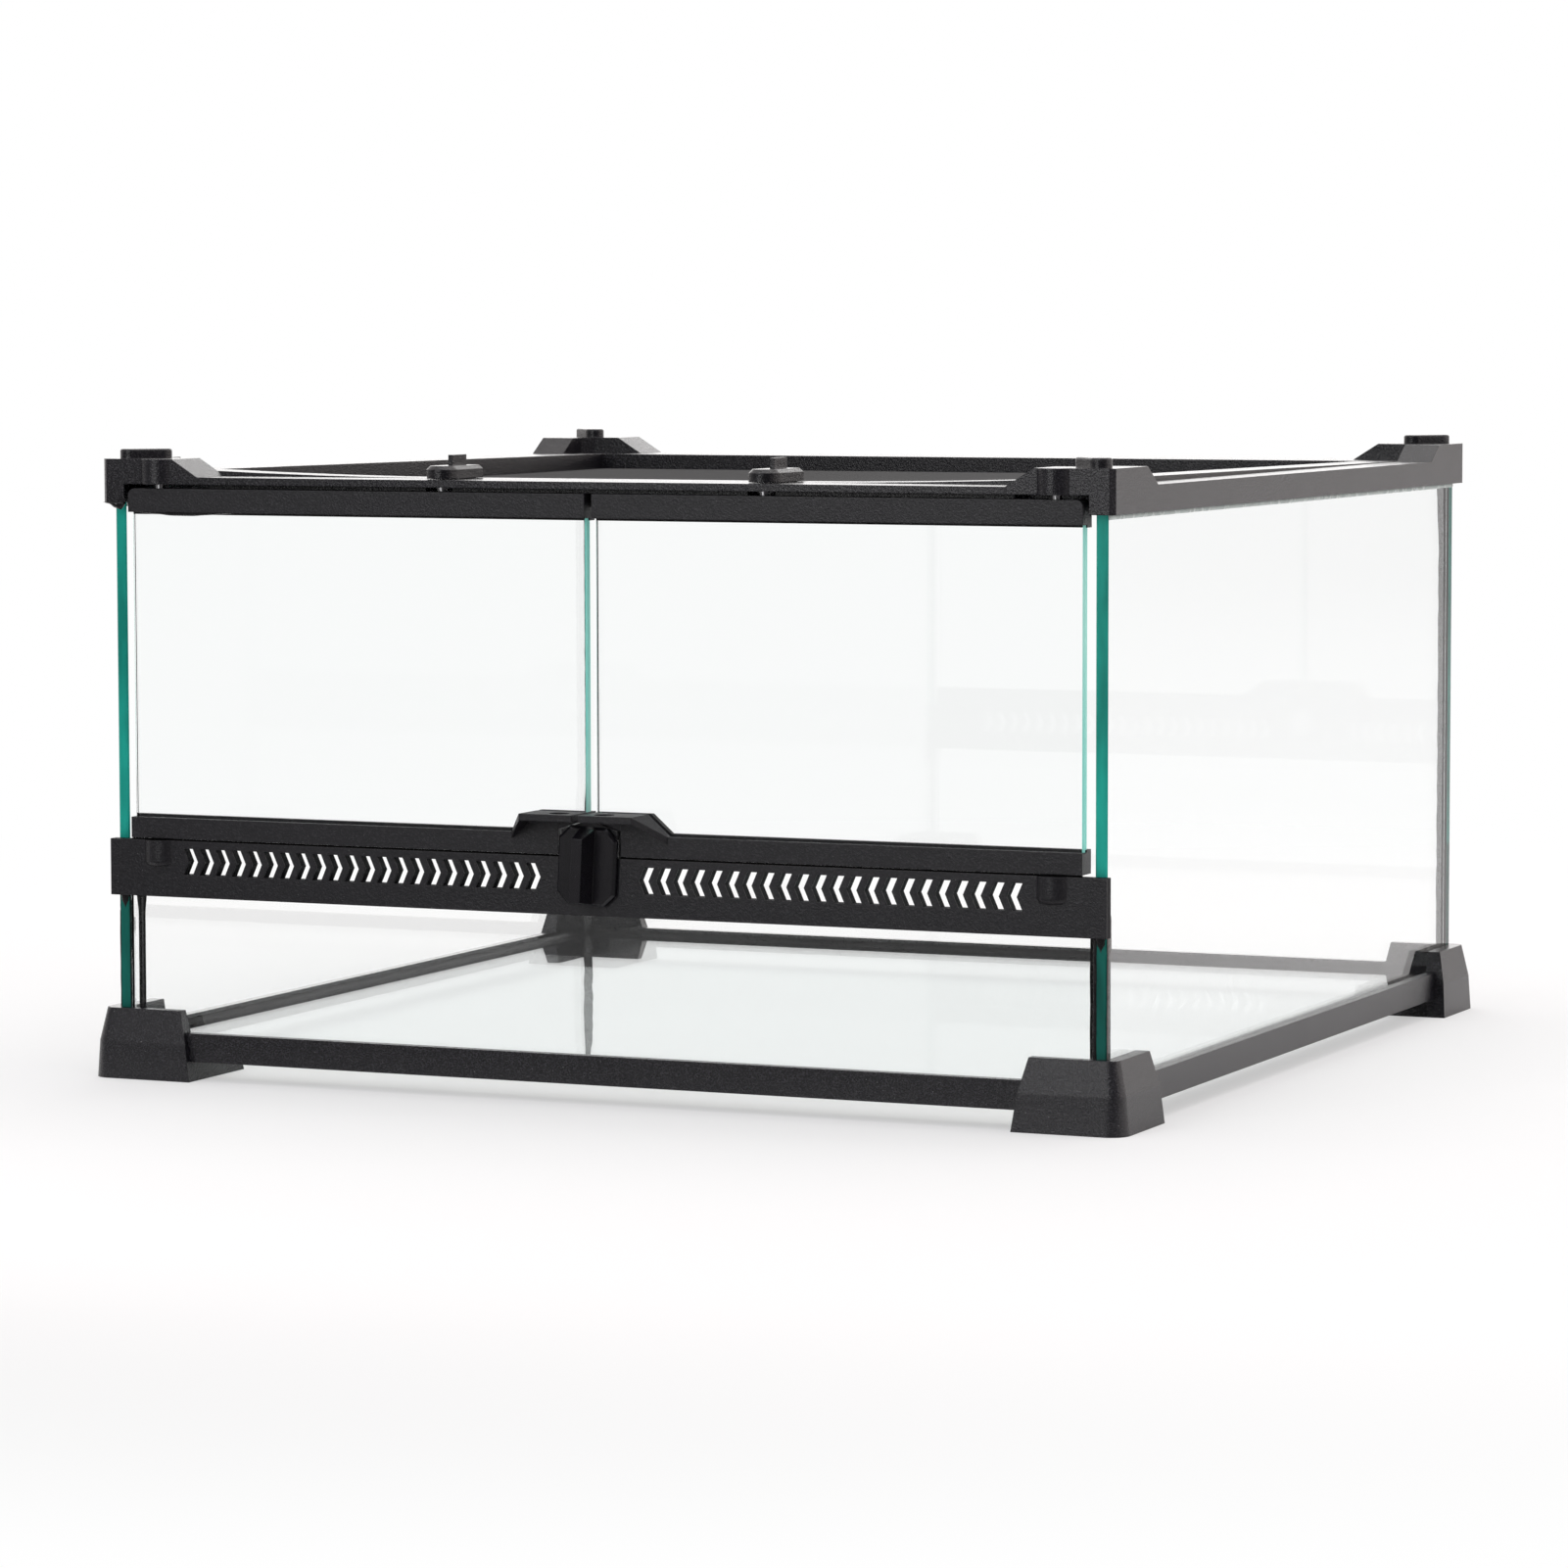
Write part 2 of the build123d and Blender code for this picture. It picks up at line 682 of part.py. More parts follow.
def lid_rim():
    outer_x = lid_x - lid_gap
    outer_y = lid_y - lid_gap
    rim_x = outer_x - rim_width
    rim_y = outer_y - rim_width
    low = rest_z + face_gap
    high = low + rim_height
    raised = high + rim_lift
    flat = clip_x
    # the front rim bows down towards the clips, along an arc level at its foot
    halfway = (rim_x + flat) / 2
    front_outline = [
        Polyline((-rim_x, raised), (-outer_x, raised), (-outer_x, low), (outer_x, low),
                 (outer_x, raised), (rim_x, raised)),
        ThreePointArc((rim_x, raised), (halfway, high + rim_lift / 4), (flat, high)),
        Line((flat, high), (-flat, high)),
        ThreePointArc((-flat, high), (-halfway, high + rim_lift / 4), (-rim_x, raised)),
    ]
    rim = prism_y(front_outline, (-outer_y, -rim_y))
    side = prism_x(Polyline((-rim_y, low), (outer_y, low), (outer_y, high), (-rim_y, raised),
                            close=True), (rim_x, outer_x))
    rim += side
    rim += across(side)
    rim += slab((-rim_x, rim_x), (rim_y, outer_y), (low, high))
    rim &= cut_corner_slab(outer_x, outer_y, lid_corner_cut, (low, raised))
    half_notch = clip_width / 2 + clip_notch_gap
    for side_sign in (-1, 1):
        middle = side_sign * clip_x
        rim -= slab((middle - half_notch, middle + half_notch),
                    (-outer_y - 1, -clip_y + clip_tail + clip_notch_gap), (low - 1, raised))
    return rim


def lid_mesh():
    reach_x = lid_x - lid_gap - rim_width
    reach_y = lid_y - lid_gap - rim_width
    low = rest_z + face_gap + mesh_rise
    return slab((-reach_x, reach_x), (-reach_y, reach_y), (low, low + mesh_thickness))


def mesh_retainer():
    reach_x = lid_x - lid_gap - rim_width
    reach_y = lid_y - lid_gap - rim_width
    top = rest_z + face_gap + mesh_rise
    span = (top - retainer_height, top)
    ring = slab((-reach_x, reach_x), (-reach_y, reach_y), span)
    hole_x = reach_x - retainer_width
    hole_y = reach_y - retainer_width
    return ring - slab((-hole_x, hole_x), (-hole_y, hole_y), span)


# Lid clips, drawn for the right-hand side

def right_clip():
    half = clip_width / 2
    tail = -clip_y + clip_tail
    head = post(clip_x, -clip_y, half, (clip_bottom, clip_top))
    outline = Polyline(
        (clip_x - half, -clip_y),
        (clip_x + half, -clip_y),
        (clip_x + half, tail - clip_end_cut),
        (clip_x + half - clip_end_cut, tail),
        (clip_x - half + clip_end_cut, tail),
        (clip_x - half, tail - clip_end_cut),
        close=True,
    )
    body = head + prism_z(outline, (clip_bottom, clip_top))
    body = chamfer(body.edges().group_by(Axis.Z)[-1], clip_chamfer)
    fin_y = clip_fin_offset - clip_y
    fin = slab((clip_x - clip_fin_width / 2, clip_x + clip_fin_width / 2),
               (fin_y - clip_fin_length / 2, fin_y + clip_fin_length / 2),
               (clip_top, clip_top + clip_fin_height))
    hole = post(clip_x, -clip_y, clip_screw_radius, (clip_bottom - 1, clip_bottom + clip_screw_bite))
    return body + fin - hole


def right_clip_washer():
    top = front_bar_bottom - face_gap
    ring = post(clip_x, -clip_y, clip_washer_radius, (top - clip_washer, top))
    return ring - post(clip_x, -clip_y, clip_screw_radius, (top - clip_washer - 1, top + 1))


def right_clip_screw():
    under = front_bar_bottom - face_gap - clip_washer
    head = post(clip_x, -clip_y, clip_head_radius, (under - clip_head, under))
    return head + post(clip_x, -clip_y, clip_screw_radius, (under, clip_bottom + clip_screw_bite))


def all_parts():
    parts = frame_pieces()
    foot = front_right_foot()
    parts["foot_front_right"] = foot
    parts["foot_front_left"] = across(foot)
    parts["foot_rear_right"] = behind(foot)
    parts["foot_rear_left"] = across(behind(foot))
    parts["bottom_bar_right"] = side_bottom_bar()
    parts["bottom_bar_left"] = across(side_bottom_bar())
    parts["bottom_bar_front"] = front_bottom_bar()
    parts["bottom_bar_rear"] = behind(front_bottom_bar())
    parts["glass_floor"] = floor_pane()
    parts["glass_right"] = side_pane()
    parts["glass_left"] = across(side_pane())
    parts["glass_rear"] = rear_pane()
    parts["glass_sill"] = sill_pane()
    front_seam = upright_bead(front_bead, vent_bottom)
    parts["seam_front_right"] = front_seam
    parts["seam_front_left"] = across(front_seam)
    rear_seam = behind(upright_bead(rear_bead, frame_bottom))
    parts["seam_rear_right"] = rear_seam
    parts["seam_rear_left"] = across(rear_seam)
    parts["seam_floor"] = floor_beads()
    parts["vent_bar"] = vent_bar()
    paired = {
        "door_glass": right_door_glass,
        "door_top_rail": right_top_rail,
        "door_bottom_rail": right_bottom_rail,
        "door_hood": right_hood,
        "door_top_pin": right_top_pin,
        "door_bottom_pin": right_bottom_pin,
        "lid_clip": right_clip,
        "lid_clip_washer": right_clip_washer,
        "lid_clip_screw": right_clip_screw,
    }
    for name, make in paired.items():
        shape = make()
        parts[name + "_right"] = shape
        parts[name + "_left"] = across(shape)
    parts["latch_knob"] = latch_knob()
    parts["latch_shaft"] = latch_shaft()
    parts["latch_washer"] = latch_washer_ring()
    parts["latch_screw"] = latch_screw()
    parts["lid_rim"] = lid_rim()
    parts["lid_mesh"] = lid_mesh()
    parts["lid_mesh_retainer"] = mesh_retainer()
    return parts


os.makedirs("parts", exist_ok=True)
for name, shape in all_parts().items():
    export_step(Pos(0, tank_shift, 0) * shape, f"parts/{name}.step")
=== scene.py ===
import json
import math

import bmesh
import bpy
from mathutils import Matrix, Vector, noise


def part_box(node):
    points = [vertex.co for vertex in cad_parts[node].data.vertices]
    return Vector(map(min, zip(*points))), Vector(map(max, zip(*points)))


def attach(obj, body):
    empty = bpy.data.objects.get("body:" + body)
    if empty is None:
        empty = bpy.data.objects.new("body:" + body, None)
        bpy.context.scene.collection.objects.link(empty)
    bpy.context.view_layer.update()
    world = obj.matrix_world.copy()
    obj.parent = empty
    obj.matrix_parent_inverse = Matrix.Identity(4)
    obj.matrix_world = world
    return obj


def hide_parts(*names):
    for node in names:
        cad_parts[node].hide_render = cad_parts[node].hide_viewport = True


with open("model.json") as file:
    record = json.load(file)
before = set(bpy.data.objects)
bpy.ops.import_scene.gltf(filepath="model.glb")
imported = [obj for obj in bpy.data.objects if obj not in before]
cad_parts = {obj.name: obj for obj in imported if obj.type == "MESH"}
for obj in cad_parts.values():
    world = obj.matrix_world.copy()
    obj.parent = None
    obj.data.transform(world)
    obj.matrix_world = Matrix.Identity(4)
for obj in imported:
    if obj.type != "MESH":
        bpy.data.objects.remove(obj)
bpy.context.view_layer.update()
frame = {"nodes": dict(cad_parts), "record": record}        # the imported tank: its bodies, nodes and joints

print("frame loaded:", len(frame["nodes"]), "nodes")


# small helpers for node trees

def addNode(tree, kind, place, **values):
    node = tree.nodes.new(kind)
    node.location = place
    for name, value in values.items():
        setattr(node, name, value)
    return node


def setInputs(node, **values):
    for name, value in values.items():
        node.inputs[name.replace("_", " ")].default_value = value
    return node


def mathNode(tree, operation, place, first, second=None, clamp=False):
    node = addNode(tree, "ShaderNodeMath", place, operation=operation, use_clamp=clamp)
    for socket, value in zip(node.inputs, (first, second)):
        if isinstance(value, bpy.types.NodeSocket):
            tree.links.new(value, socket)
        elif value is not None:
            socket.default_value = value
    return node.outputs[0]


def rampNode(tree, place, factor, stops):
    node = addNode(tree, "ShaderNodeValToRGB", place)
    ramp = node.color_ramp
    for i, (where, colour) in enumerate(stops):
        stop = ramp.elements[i] if i < 2 else ramp.elements.new(where)
        stop.position = where
        stop.color = (*colour, 1) if isinstance(colour, tuple) else (colour, colour, colour, 1)
    tree.links.new(factor, node.inputs[0])
    return node.outputs[0]


def fadeNode(tree, place, value, low, high):
    node = addNode(tree, "ShaderNodeMapRange", place, interpolation_type="SMOOTHSTEP")
    tree.links.new(value, node.inputs["Value"])
    setInputs(node, From_Min=low, From_Max=high)
    return node.outputs["Result"]


def newMaterial(name):
    material = bpy.data.materials.new(name)
    material.use_nodes = True
    tree = material.node_tree
    return material, tree, tree.nodes["Principled BSDF"], tree.nodes["Material Output"]


def groupSockets(group, inputs, outputs):
    for name, kind, value in inputs:
        socket = group.interface.new_socket(name, in_out="INPUT", socket_type=kind)
        socket.default_value = value
    for name, kind in outputs:
        group.interface.new_socket(name, in_out="OUTPUT", socket_type=kind)
    enter = addNode(group, "NodeGroupInput", (-900, 0))
    leave = addNode(group, "NodeGroupOutput", (900, 0))
    return enter, leave


# moulded plastic

def buildMouldedGrain():
    group = bpy.data.node_groups.new("mouldedGrain", "ShaderNodeTree")
    enter, leave = groupSockets(
        group,
        [("Base", "NodeSocketColor", (0.01, 0.01, 0.011, 1)),
         ("Dust", "NodeSocketColor", (0.2, 0.2, 0.2, 1)),
         ("Dust Amount", "NodeSocketFloat", 0.3),
         ("Grain Scale", "NodeSocketFloat", 1300.0),
         ("Painted Glints", "NodeSocketFloat", 0.5),
         ("Gloss", "NodeSocketFloat", 0.36)],
        [("Color", "NodeSocketColor"), ("Roughness", "NodeSocketFloat"), ("Height", "NodeSocketFloat")],
    )
    spot = addNode(group, "ShaderNodeTexCoord", (-900, -300)).outputs["Object"]
    grain = addNode(group, "ShaderNodeTexNoise", (-600, 100))
    setInputs(grain, Detail=2.0, Roughness=0.7)
    cloud = addNode(group, "ShaderNodeTexNoise", (-600, -150))
    setInputs(cloud, Scale=38.0, Detail=4.0, Roughness=0.65)
    specks = addNode(group, "ShaderNodeTexVoronoi", (-600, -400), feature="F1")
    setInputs(specks, Scale=420.0, Randomness=1.0)
    for texture in (grain, cloud, specks):
        group.links.new(spot, texture.inputs["Vector"])
    group.links.new(enter.outputs["Grain Scale"], grain.inputs["Scale"])
    grainHeight = grain.outputs["Fac"]
    # painted highlights: grain crests are lightened towards a paler colour, standing in for glints on the grain
    glintMask = fadeNode(group, (-380, 250), grainHeight, 0.5, 0.7)
    glintAmount = mathNode(group, "MULTIPLY", (-200, 250), glintMask, enter.outputs["Painted Glints"])
    glinted = addNode(group, "ShaderNodeMix", (0, 300), data_type="RGBA")
    group.links.new(glintAmount, glinted.inputs[0])
    group.links.new(enter.outputs["Base"], glinted.inputs[6])
    glinted.inputs[7].default_value = (0.05, 0.047, 0.055, 1)
    # a few cells only carry a speck, and only near their middle
    near = mathNode(group, "LESS_THAN", (-380, -400), specks.outputs["Distance"], 0.09)
    pick = addNode(group, "ShaderNodeSeparateColor", (-380, -560))
    group.links.new(specks.outputs["Color"], pick.inputs[0])
    chosen = mathNode(group, "GREATER_THAN", (-200, -560), pick.outputs[0], 0.86)
    speck = mathNode(group, "MULTIPLY", (0, -450), near, chosen)
    speckAmount = mathNode(group, "MULTIPLY", (160, -450), speck, enter.outputs["Dust Amount"])
    haze = mathNode(group, "MULTIPLY_ADD", (-380, -150), cloud.outputs["Fac"], 0.08)
    group.links.new(enter.outputs["Gloss"], haze.node.inputs[2])
    rough = mathNode(group, "MULTIPLY_ADD", (160, 0), speck, 0.2)
    group.links.new(haze, rough.node.inputs[2])
    mixed = addNode(group, "ShaderNodeMix", (400, 200), data_type="RGBA")
    group.links.new(speckAmount, mixed.inputs[0])
    group.links.new(glinted.outputs[2], mixed.inputs[6])
    group.links.new(enter.outputs["Dust"], mixed.inputs[7])
    group.links.new(mixed.outputs[2], leave.inputs["Color"])
    group.links.new(rough, leave.inputs["Roughness"])
    group.links.new(grainHeight, leave.inputs["Height"])
    return group


# in each row, the share of lightened grain crests is painted highlight
plasticFinish = {
    "edgeRadius": 0.0005,
    "grainDepth": 0.00025,
    "frame": {"base": (0.0075, 0.0071, 0.0095, 1), "gloss": 0.2, "dust": 0.3, "strength": 0.8, "paintedGlints": 0.55},
    "door": {"base": (0.0075, 0.0071, 0.0095, 1), "gloss": 0.36, "dust": 0.35, "strength": 0.8, "paintedGlints": 0.4},
    "foot": {"base": (0.008, 0.0075, 0.01, 1), "gloss": 0.22, "dust": 0.45, "strength": 0.9, "paintedGlints": 0.5},
    "latch": {"base": (0.0075, 0.007, 0.0092, 1), "gloss": 0.2, "dust": 0.2, "strength": 0.2, "paintedGlints": 0.1},
    "vent": {"base": (0.0075, 0.0071, 0.0095, 1), "gloss": 0.3, "dust": 0.4, "strength": 0.8, "paintedGlints": 0.3},
    "slotDepth": (0.0002, 0.0007),    # dull from here on behind the vent bar's front face
    "slotGloss": 0.6,
    # painted shade: lower specular level in the vent bar's slots and on its top
    "slotShadeSheen": 0.12,
}
mouldedGrain = buildMouldedGrain()


def plasticMaterial(kind):
    look = plasticFinish[kind]
    material, tree, shader, out = newMaterial(kind + "Plastic")
    grain = addNode(tree, "ShaderNodeGroup", (-600, 0), node_tree=mouldedGrain)
    grain.inputs["Base"].default_value = look["base"]
    grain.inputs["Dust Amount"].default_value = look["dust"]
    grain.inputs["Gloss"].default_value = look["gloss"]
    grain.inputs["Painted Glints"].default_value = look["paintedGlints"]
    softEdge = addNode(tree, "ShaderNodeBevel", (-600, -350), samples=4)
    softEdge.inputs["Radius"].default_value = plasticFinish["edgeRadius"]
    bump = addNode(tree, "ShaderNodeBump", (-300, -250))
    setInputs(bump, Strength=look["strength"], Distance=plasticFinish["grainDepth"])
    tree.links.new(grain.outputs["Height"], bump.inputs["Height"])
    tree.links.new(softEdge.outputs[0], bump.inputs["Normal"])
    tree.links.new(grain.outputs["Color"], shader.inputs["Base Color"])
    tree.links.new(grain.outputs["Roughness"], shader.inputs["Roughness"])
    tree.links.new(bump.outputs[0], shader.inputs["Normal"])
    return material, tree, shader, grain


# the vent bar's slots and top are rougher than its front face, and their lowered specular level is painted shade
def ventMaterial(frontFace):
    material, tree, shader, grain = plasticMaterial("vent")
    spot = addNode(tree, "ShaderNodeTexCoord", (-900, 500)).outputs["Object"]
    parts = addNode(tree, "ShaderNodeSeparateXYZ", (-700, 500))
    tree.links.new(spot, parts.inputs[0])
    start, end = (frontFace + depth for depth in plasticFinish["slotDepth"])
    inside = fadeNode(tree, (-500, 500), parts.outputs["Y"], start, end)
    dull = addNode(tree, "ShaderNodeMix", (-250, 400), data_type="FLOAT")
    tree.links.new(inside, dull.inputs[0])
    tree.links.new(grain.outputs["Roughness"], dull.inputs[2])
    dull.inputs[3].default_value = plasticFinish["slotGloss"]
    tree.links.new(dull.outputs[0], shader.inputs["Roughness"])
    # painted shade: lower specular level in the slots and on top
    sheen = rampNode(tree, (-250, 650), inside, [(0.0, 0.5), (1.0, plasticFinish["slotShadeSheen"])])
    tree.links.new(sheen, shader.inputs["Specular IOR Level"])
    return material


# glass: clear faces and green cut edges

glassFinish = {
    "tint": (0.985, 0.992, 0.99, 1),
    "floorTint": (0.945, 0.982, 0.978, 1),
    "shadowTint": (0.97, 0.985, 0.98, 1),
    "index": 1.42,
    "edgeDark": (0.003, 0.21, 0.165),
    "edgeMid": (0.012, 0.43, 0.34),
    # these two are a paler copy of the cut-edge colours, painted light for the door panes' edges that face the light
    "edgeLight": (0.2, 0.76, 0.66),
    "edgePale": (0.5, 0.92, 0.82),
    # painted shade on the cut edges below the vent bar
    "deepBelow": (0.074, 0.079),
    "deepShade": 0.36,
    "arris": 0.0006,
}


def clearGlassMaterial(name, tint):
    material, tree, shader, out = newMaterial(name)
    setInputs(shader, Base_Color=tint, Roughness=0.0, IOR=glassFinish["index"],
              Transmission_Weight=1.0)
    spot = addNode(tree, "ShaderNodeTexCoord", (-900, -200)).outputs["Object"]
    smear = addNode(tree, "ShaderNodeTexNoise", (-700, -200))
    setInputs(smear, Scale=9.0, Detail=3.0, Roughness=0.5)
    tree.links.new(spot, smear.inputs["Vector"])
    bump = addNode(tree, "ShaderNodeBump", (-400, -200))
    setInputs(bump, Strength=0.03, Distance=0.0002)
    tree.links.new(smear.outputs["Fac"], bump.inputs["Height"])
    tree.links.new(bump.outputs[0], shader.inputs["Normal"])
    path = addNode(tree, "ShaderNodeLightPath", (-200, 400))
    passes = mathNode(tree, "MAXIMUM", (0, 400), path.outputs["Is Shadow Ray"], path.outputs["Is Diffuse Ray"])
    open_ = addNode(tree, "ShaderNodeBsdfTransparent", (0, 200))
    open_.inputs["Color"].default_value = glassFinish["shadowTint"]
    mix = addNode(tree, "ShaderNodeMixShader", (300, 100))
    tree.links.new(passes, mix.inputs[0])
    tree.links.new(shader.outputs[0], mix.inputs[1])
    tree.links.new(open_.outputs[0], mix.inputs[2])
    tree.links.new(mix.outputs[0], out.inputs["Surface"])
    return material


def glassEdgeMaterial(name, dark, light, scale):
    material, tree, shader, out = newMaterial(name)
    spot = addNode(tree, "ShaderNodeTexCoord", (-1100, 0)).outputs["Object"]
    streak = addNode(tree, "ShaderNodeMapping", (-900, 0))
    streak.inputs["Scale"].default_value = scale
    tree.links.new(spot, streak.inputs["Vector"])
    shade = addNode(tree, "ShaderNodeTexNoise", (-700, 0))
    setInputs(shade, Scale=1.0, Detail=3.0, Roughness=0.6)
    tree.links.new(streak.outputs[0], shade.inputs["Vector"])
    colour = rampNode(tree, (-450, 0), shade.outputs["Fac"], [(0.35, dark), (0.68, light)])
    # painted shade: darker below the vent bar, where the sill and its sealant stand behind
    parts = addNode(tree, "ShaderNodeSeparateXYZ", (-900, 300))
    tree.links.new(spot, parts.inputs[0])
    above = fadeNode(tree, (-700, 300), parts.outputs["Z"], *glassFinish["deepBelow"])
    level = rampNode(tree, (-450, 300), above, [(0.0, glassFinish["deepShade"]), (1.0, 1.0)])
    deep = addNode(tree, "ShaderNodeMix", (-200, 200), data_type="RGBA", blend_type="MULTIPLY")
    deep.inputs[0].default_value = 1.0
    tree.links.new(colour, deep.inputs[6])
    tree.links.new(level, deep.inputs[7])
    tree.links.new(deep.outputs[2], shader.inputs["Base Color"])
    fine = addNode(tree, "ShaderNodeTexNoise", (-700, -300))
    setInputs(fine, Scale=900.0, Detail=2.0)
    tree.links.new(spot, fine.inputs["Vector"])
    bump = addNode(tree, "ShaderNodeBump", (-300, -300))
    setInputs(bump, Strength=0.15, Distance=0.00005)
    tree.links.new(fine.outputs["Fac"], bump.inputs["Height"])
    tree.links.new(bump.outputs[0], shader.inputs["Normal"])
    setInputs(shader, Roughness=0.35, IOR=1.5, Specular_IOR_Level=0.2)
    return material


# silicone, wire and steel

def siliconeMaterial(name, dark, light, rough=(0.16, 0.34), bumps=0.1, sheen=0.5):
    material, tree, shader, out = newMaterial(name)
    spot = addNode(tree, "ShaderNodeTexCoord", (-900, 0)).outputs["Object"]
    lumps = addNode(tree, "ShaderNodeTexNoise", (-700, 0))
    setInputs(lumps, Scale=160.0, Detail=3.0, Roughness=0.55)
    tree.links.new(spot, lumps.inputs["Vector"])
    shine = rampNode(tree, (-450, 100), lumps.outputs["Fac"], [(0.3, rough[0]), (0.7, rough[1])])
    colour = rampNode(tree, (-450, 350), lumps.outputs["Fac"], [(0.3, dark), (0.8, light)])
    bump = addNode(tree, "ShaderNodeBump", (-300, -200))
    setInputs(bump, Strength=bumps, Distance=0.0002)
    setInputs(shader, Specular_IOR_Level=sheen)
    tree.links.new(lumps.outputs["Fac"], bump.inputs["Height"])
    tree.links.new(colour, shader.inputs["Base Color"])
    tree.links.new(shine, shader.inputs["Roughness"])
    tree.links.new(bump.outputs[0], shader.inputs["Normal"])
    return material


def wireMaterial():
    material, tree, shader, out = newMaterial("blackWire")
    spot = addNode(tree, "ShaderNodeTexCoord", (-900, 0)).outputs["Object"]
    wear = addNode(tree, "ShaderNodeTexNoise", (-700, 0))
    setInputs(wear, Scale=300.0, Detail=2.0)
    tree.links.new(spot, wear.inputs["Vector"])
    colour = rampNode(tree, (-450, 100), wear.outputs["Fac"], [(0.35, (0.012, 0.012, 0.013)), (0.8, (0.035, 0.035, 0.036))])
    rough = rampNode(tree, (-450, -150), wear.outputs["Fac"], [(0.3, 0.35), (0.7, 0.5)])
    tree.links.new(colour, shader.inputs["Base Color"])
    tree.links.new(rough, shader.inputs["Roughness"])
    return material


def steelMaterial():
    material, tree, shader, out = newMaterial("plainSteel")
    spot = addNode(tree, "ShaderNodeTexCoord", (-900, 0)).outputs["Object"]
    brush = addNode(tree, "ShaderNodeTexNoise", (-700, 0))
    setInputs(brush, Scale=700.0, Detail=2.0)
    tree.links.new(spot, brush.inputs["Vector"])
    colour = rampNode(tree, (-450, 100), brush.outputs["Fac"], [(0.3, (0.42, 0.42, 0.43)), (0.7, (0.56, 0.56, 0.57))])
    rough = rampNode(tree, (-450, -150), brush.outputs["Fac"], [(0.3, 0.22), (0.7, 0.36)])
    tree.links.new(colour, shader.inputs["Base Color"])
    tree.links.new(rough, shader.inputs["Roughness"])
    shader.inputs["Metallic"].default_value = 1.0
    return material


materials = {
    "frame_plastic": plasticMaterial("frame")[0],
    "foot_plastic": plasticMaterial("foot")[0],
    "latch_plastic": plasticMaterial("latch")[0],
    "silicone": siliconeMaterial("blackSilicone", (0.003, 0.003, 0.0035), (0.009, 0.009, 0.01)),
    "screen_mesh": wireMaterial(),
    "steel": steelMaterial(),
}
smearSilicone = siliconeMaterial("smearedSilicone", (0.05, 0.043, 0.04), (0.11, 0.098, 0.09))
flatSilicone = siliconeMaterial("flatSilicone", (0.002, 0.002, 0.0025), (0.005, 0.005, 0.006), (0.2, 0.26), 0.01, 0.2)
# flat black for the strips that stand in for the shade in the gap under the doors
shadeStripBlack = siliconeMaterial("shadeStripBlack", (0.002, 0.002, 0.002), (0.005, 0.005, 0.005), (0.85, 0.95), 0.1, 0.05)
paleGlue = siliconeMaterial("paleGlue", (0.3, 0.36, 0.34), (0.5, 0.56, 0.54))
clearGlass = clearGlassMaterial("clearGlass", glassFinish["tint"])
floorGlass = clearGlassMaterial("floorGlass", glassFinish["floorTint"])
darkEdge = glassEdgeMaterial("darkGlassEdge", glassFinish["edgeDark"], glassFinish["edgeMid"], (60, 60, 14))
# painted light: a lit copy of the cut-edge material, for the door panes
paintedLitEdge = glassEdgeMaterial("paintedLitGlassEdge", glassFinish["edgeLight"], glassFinish["edgePale"], (90, 90, 6))

slotOf = {part["node"]: part["material_slot"] for part in frame["record"]["subparts"]}
for name, cadObject in frame["nodes"].items():
    finish = materials.get(slotOf[name])
    if finish:
        cadObject.data.materials.clear()
        cadObject.data.materials.append(finish)
doorPlastic = plasticMaterial("door")[0]
for name, cadObject in frame["nodes"].items():
    if name.startswith("door_") and slotOf[name] == "frame_plastic":
        cadObject.data.materials[0] = doorPlastic
ventBar = frame["nodes"]["vent_bar"].data
ventBar.materials.clear()
ventBar.materials.append(ventMaterial(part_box("door_bottom_rail_left")[0].y))
print("materials made")


# panes with ground edges

def groundPane(node, body, thin, edgeMaterial, clearEnds=(), bedded=()):
    source = frame["nodes"][node]
    bm = bmesh.new()
    bm.from_mesh(source.data)
    bmesh.ops.remove_doubles(bm, verts=bm.verts, dist=1e-6)
    bmesh.ops.dissolve_limit(bm, angle_limit=math.radians(1), verts=bm.verts, edges=bm.edges)
    broad = [f for f in bm.faces if abs(f.normal[thin]) > 0.99]
    rims = list({e for f in broad for e in f.edges})
    bmesh.ops.bevel(bm, geom=rims, offset=glassFinish["arris"], segments=1, affect="EDGES", profile=0.5)
    for face in bm.faces:
        face.smooth = False
        clear = any(face.normal.dot(Vector(way)) > 0.6 for way in clearEnds)
        hidden = any(face.normal.dot(Vector(way)) > 0.5 for way in bedded)
        face.material_index = 0 if clear or abs(face.normal[thin]) > 0.99 else 2 if hidden else 1
    mesh = bpy.data.meshes.new(node + "_pane")
    bm.to_mesh(mesh)
    bm.free()
    mesh.materials.append(floorGlass if thin == 2 else clearGlass)
    mesh.materials.append(edgeMaterial)
    mesh.materials.append(materials["silicone"])
    pane = bpy.data.objects.new(node + "_pane", mesh)
    bpy.context.scene.collection.objects.link(pane)
    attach(pane, body)
    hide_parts(node)
    return pane


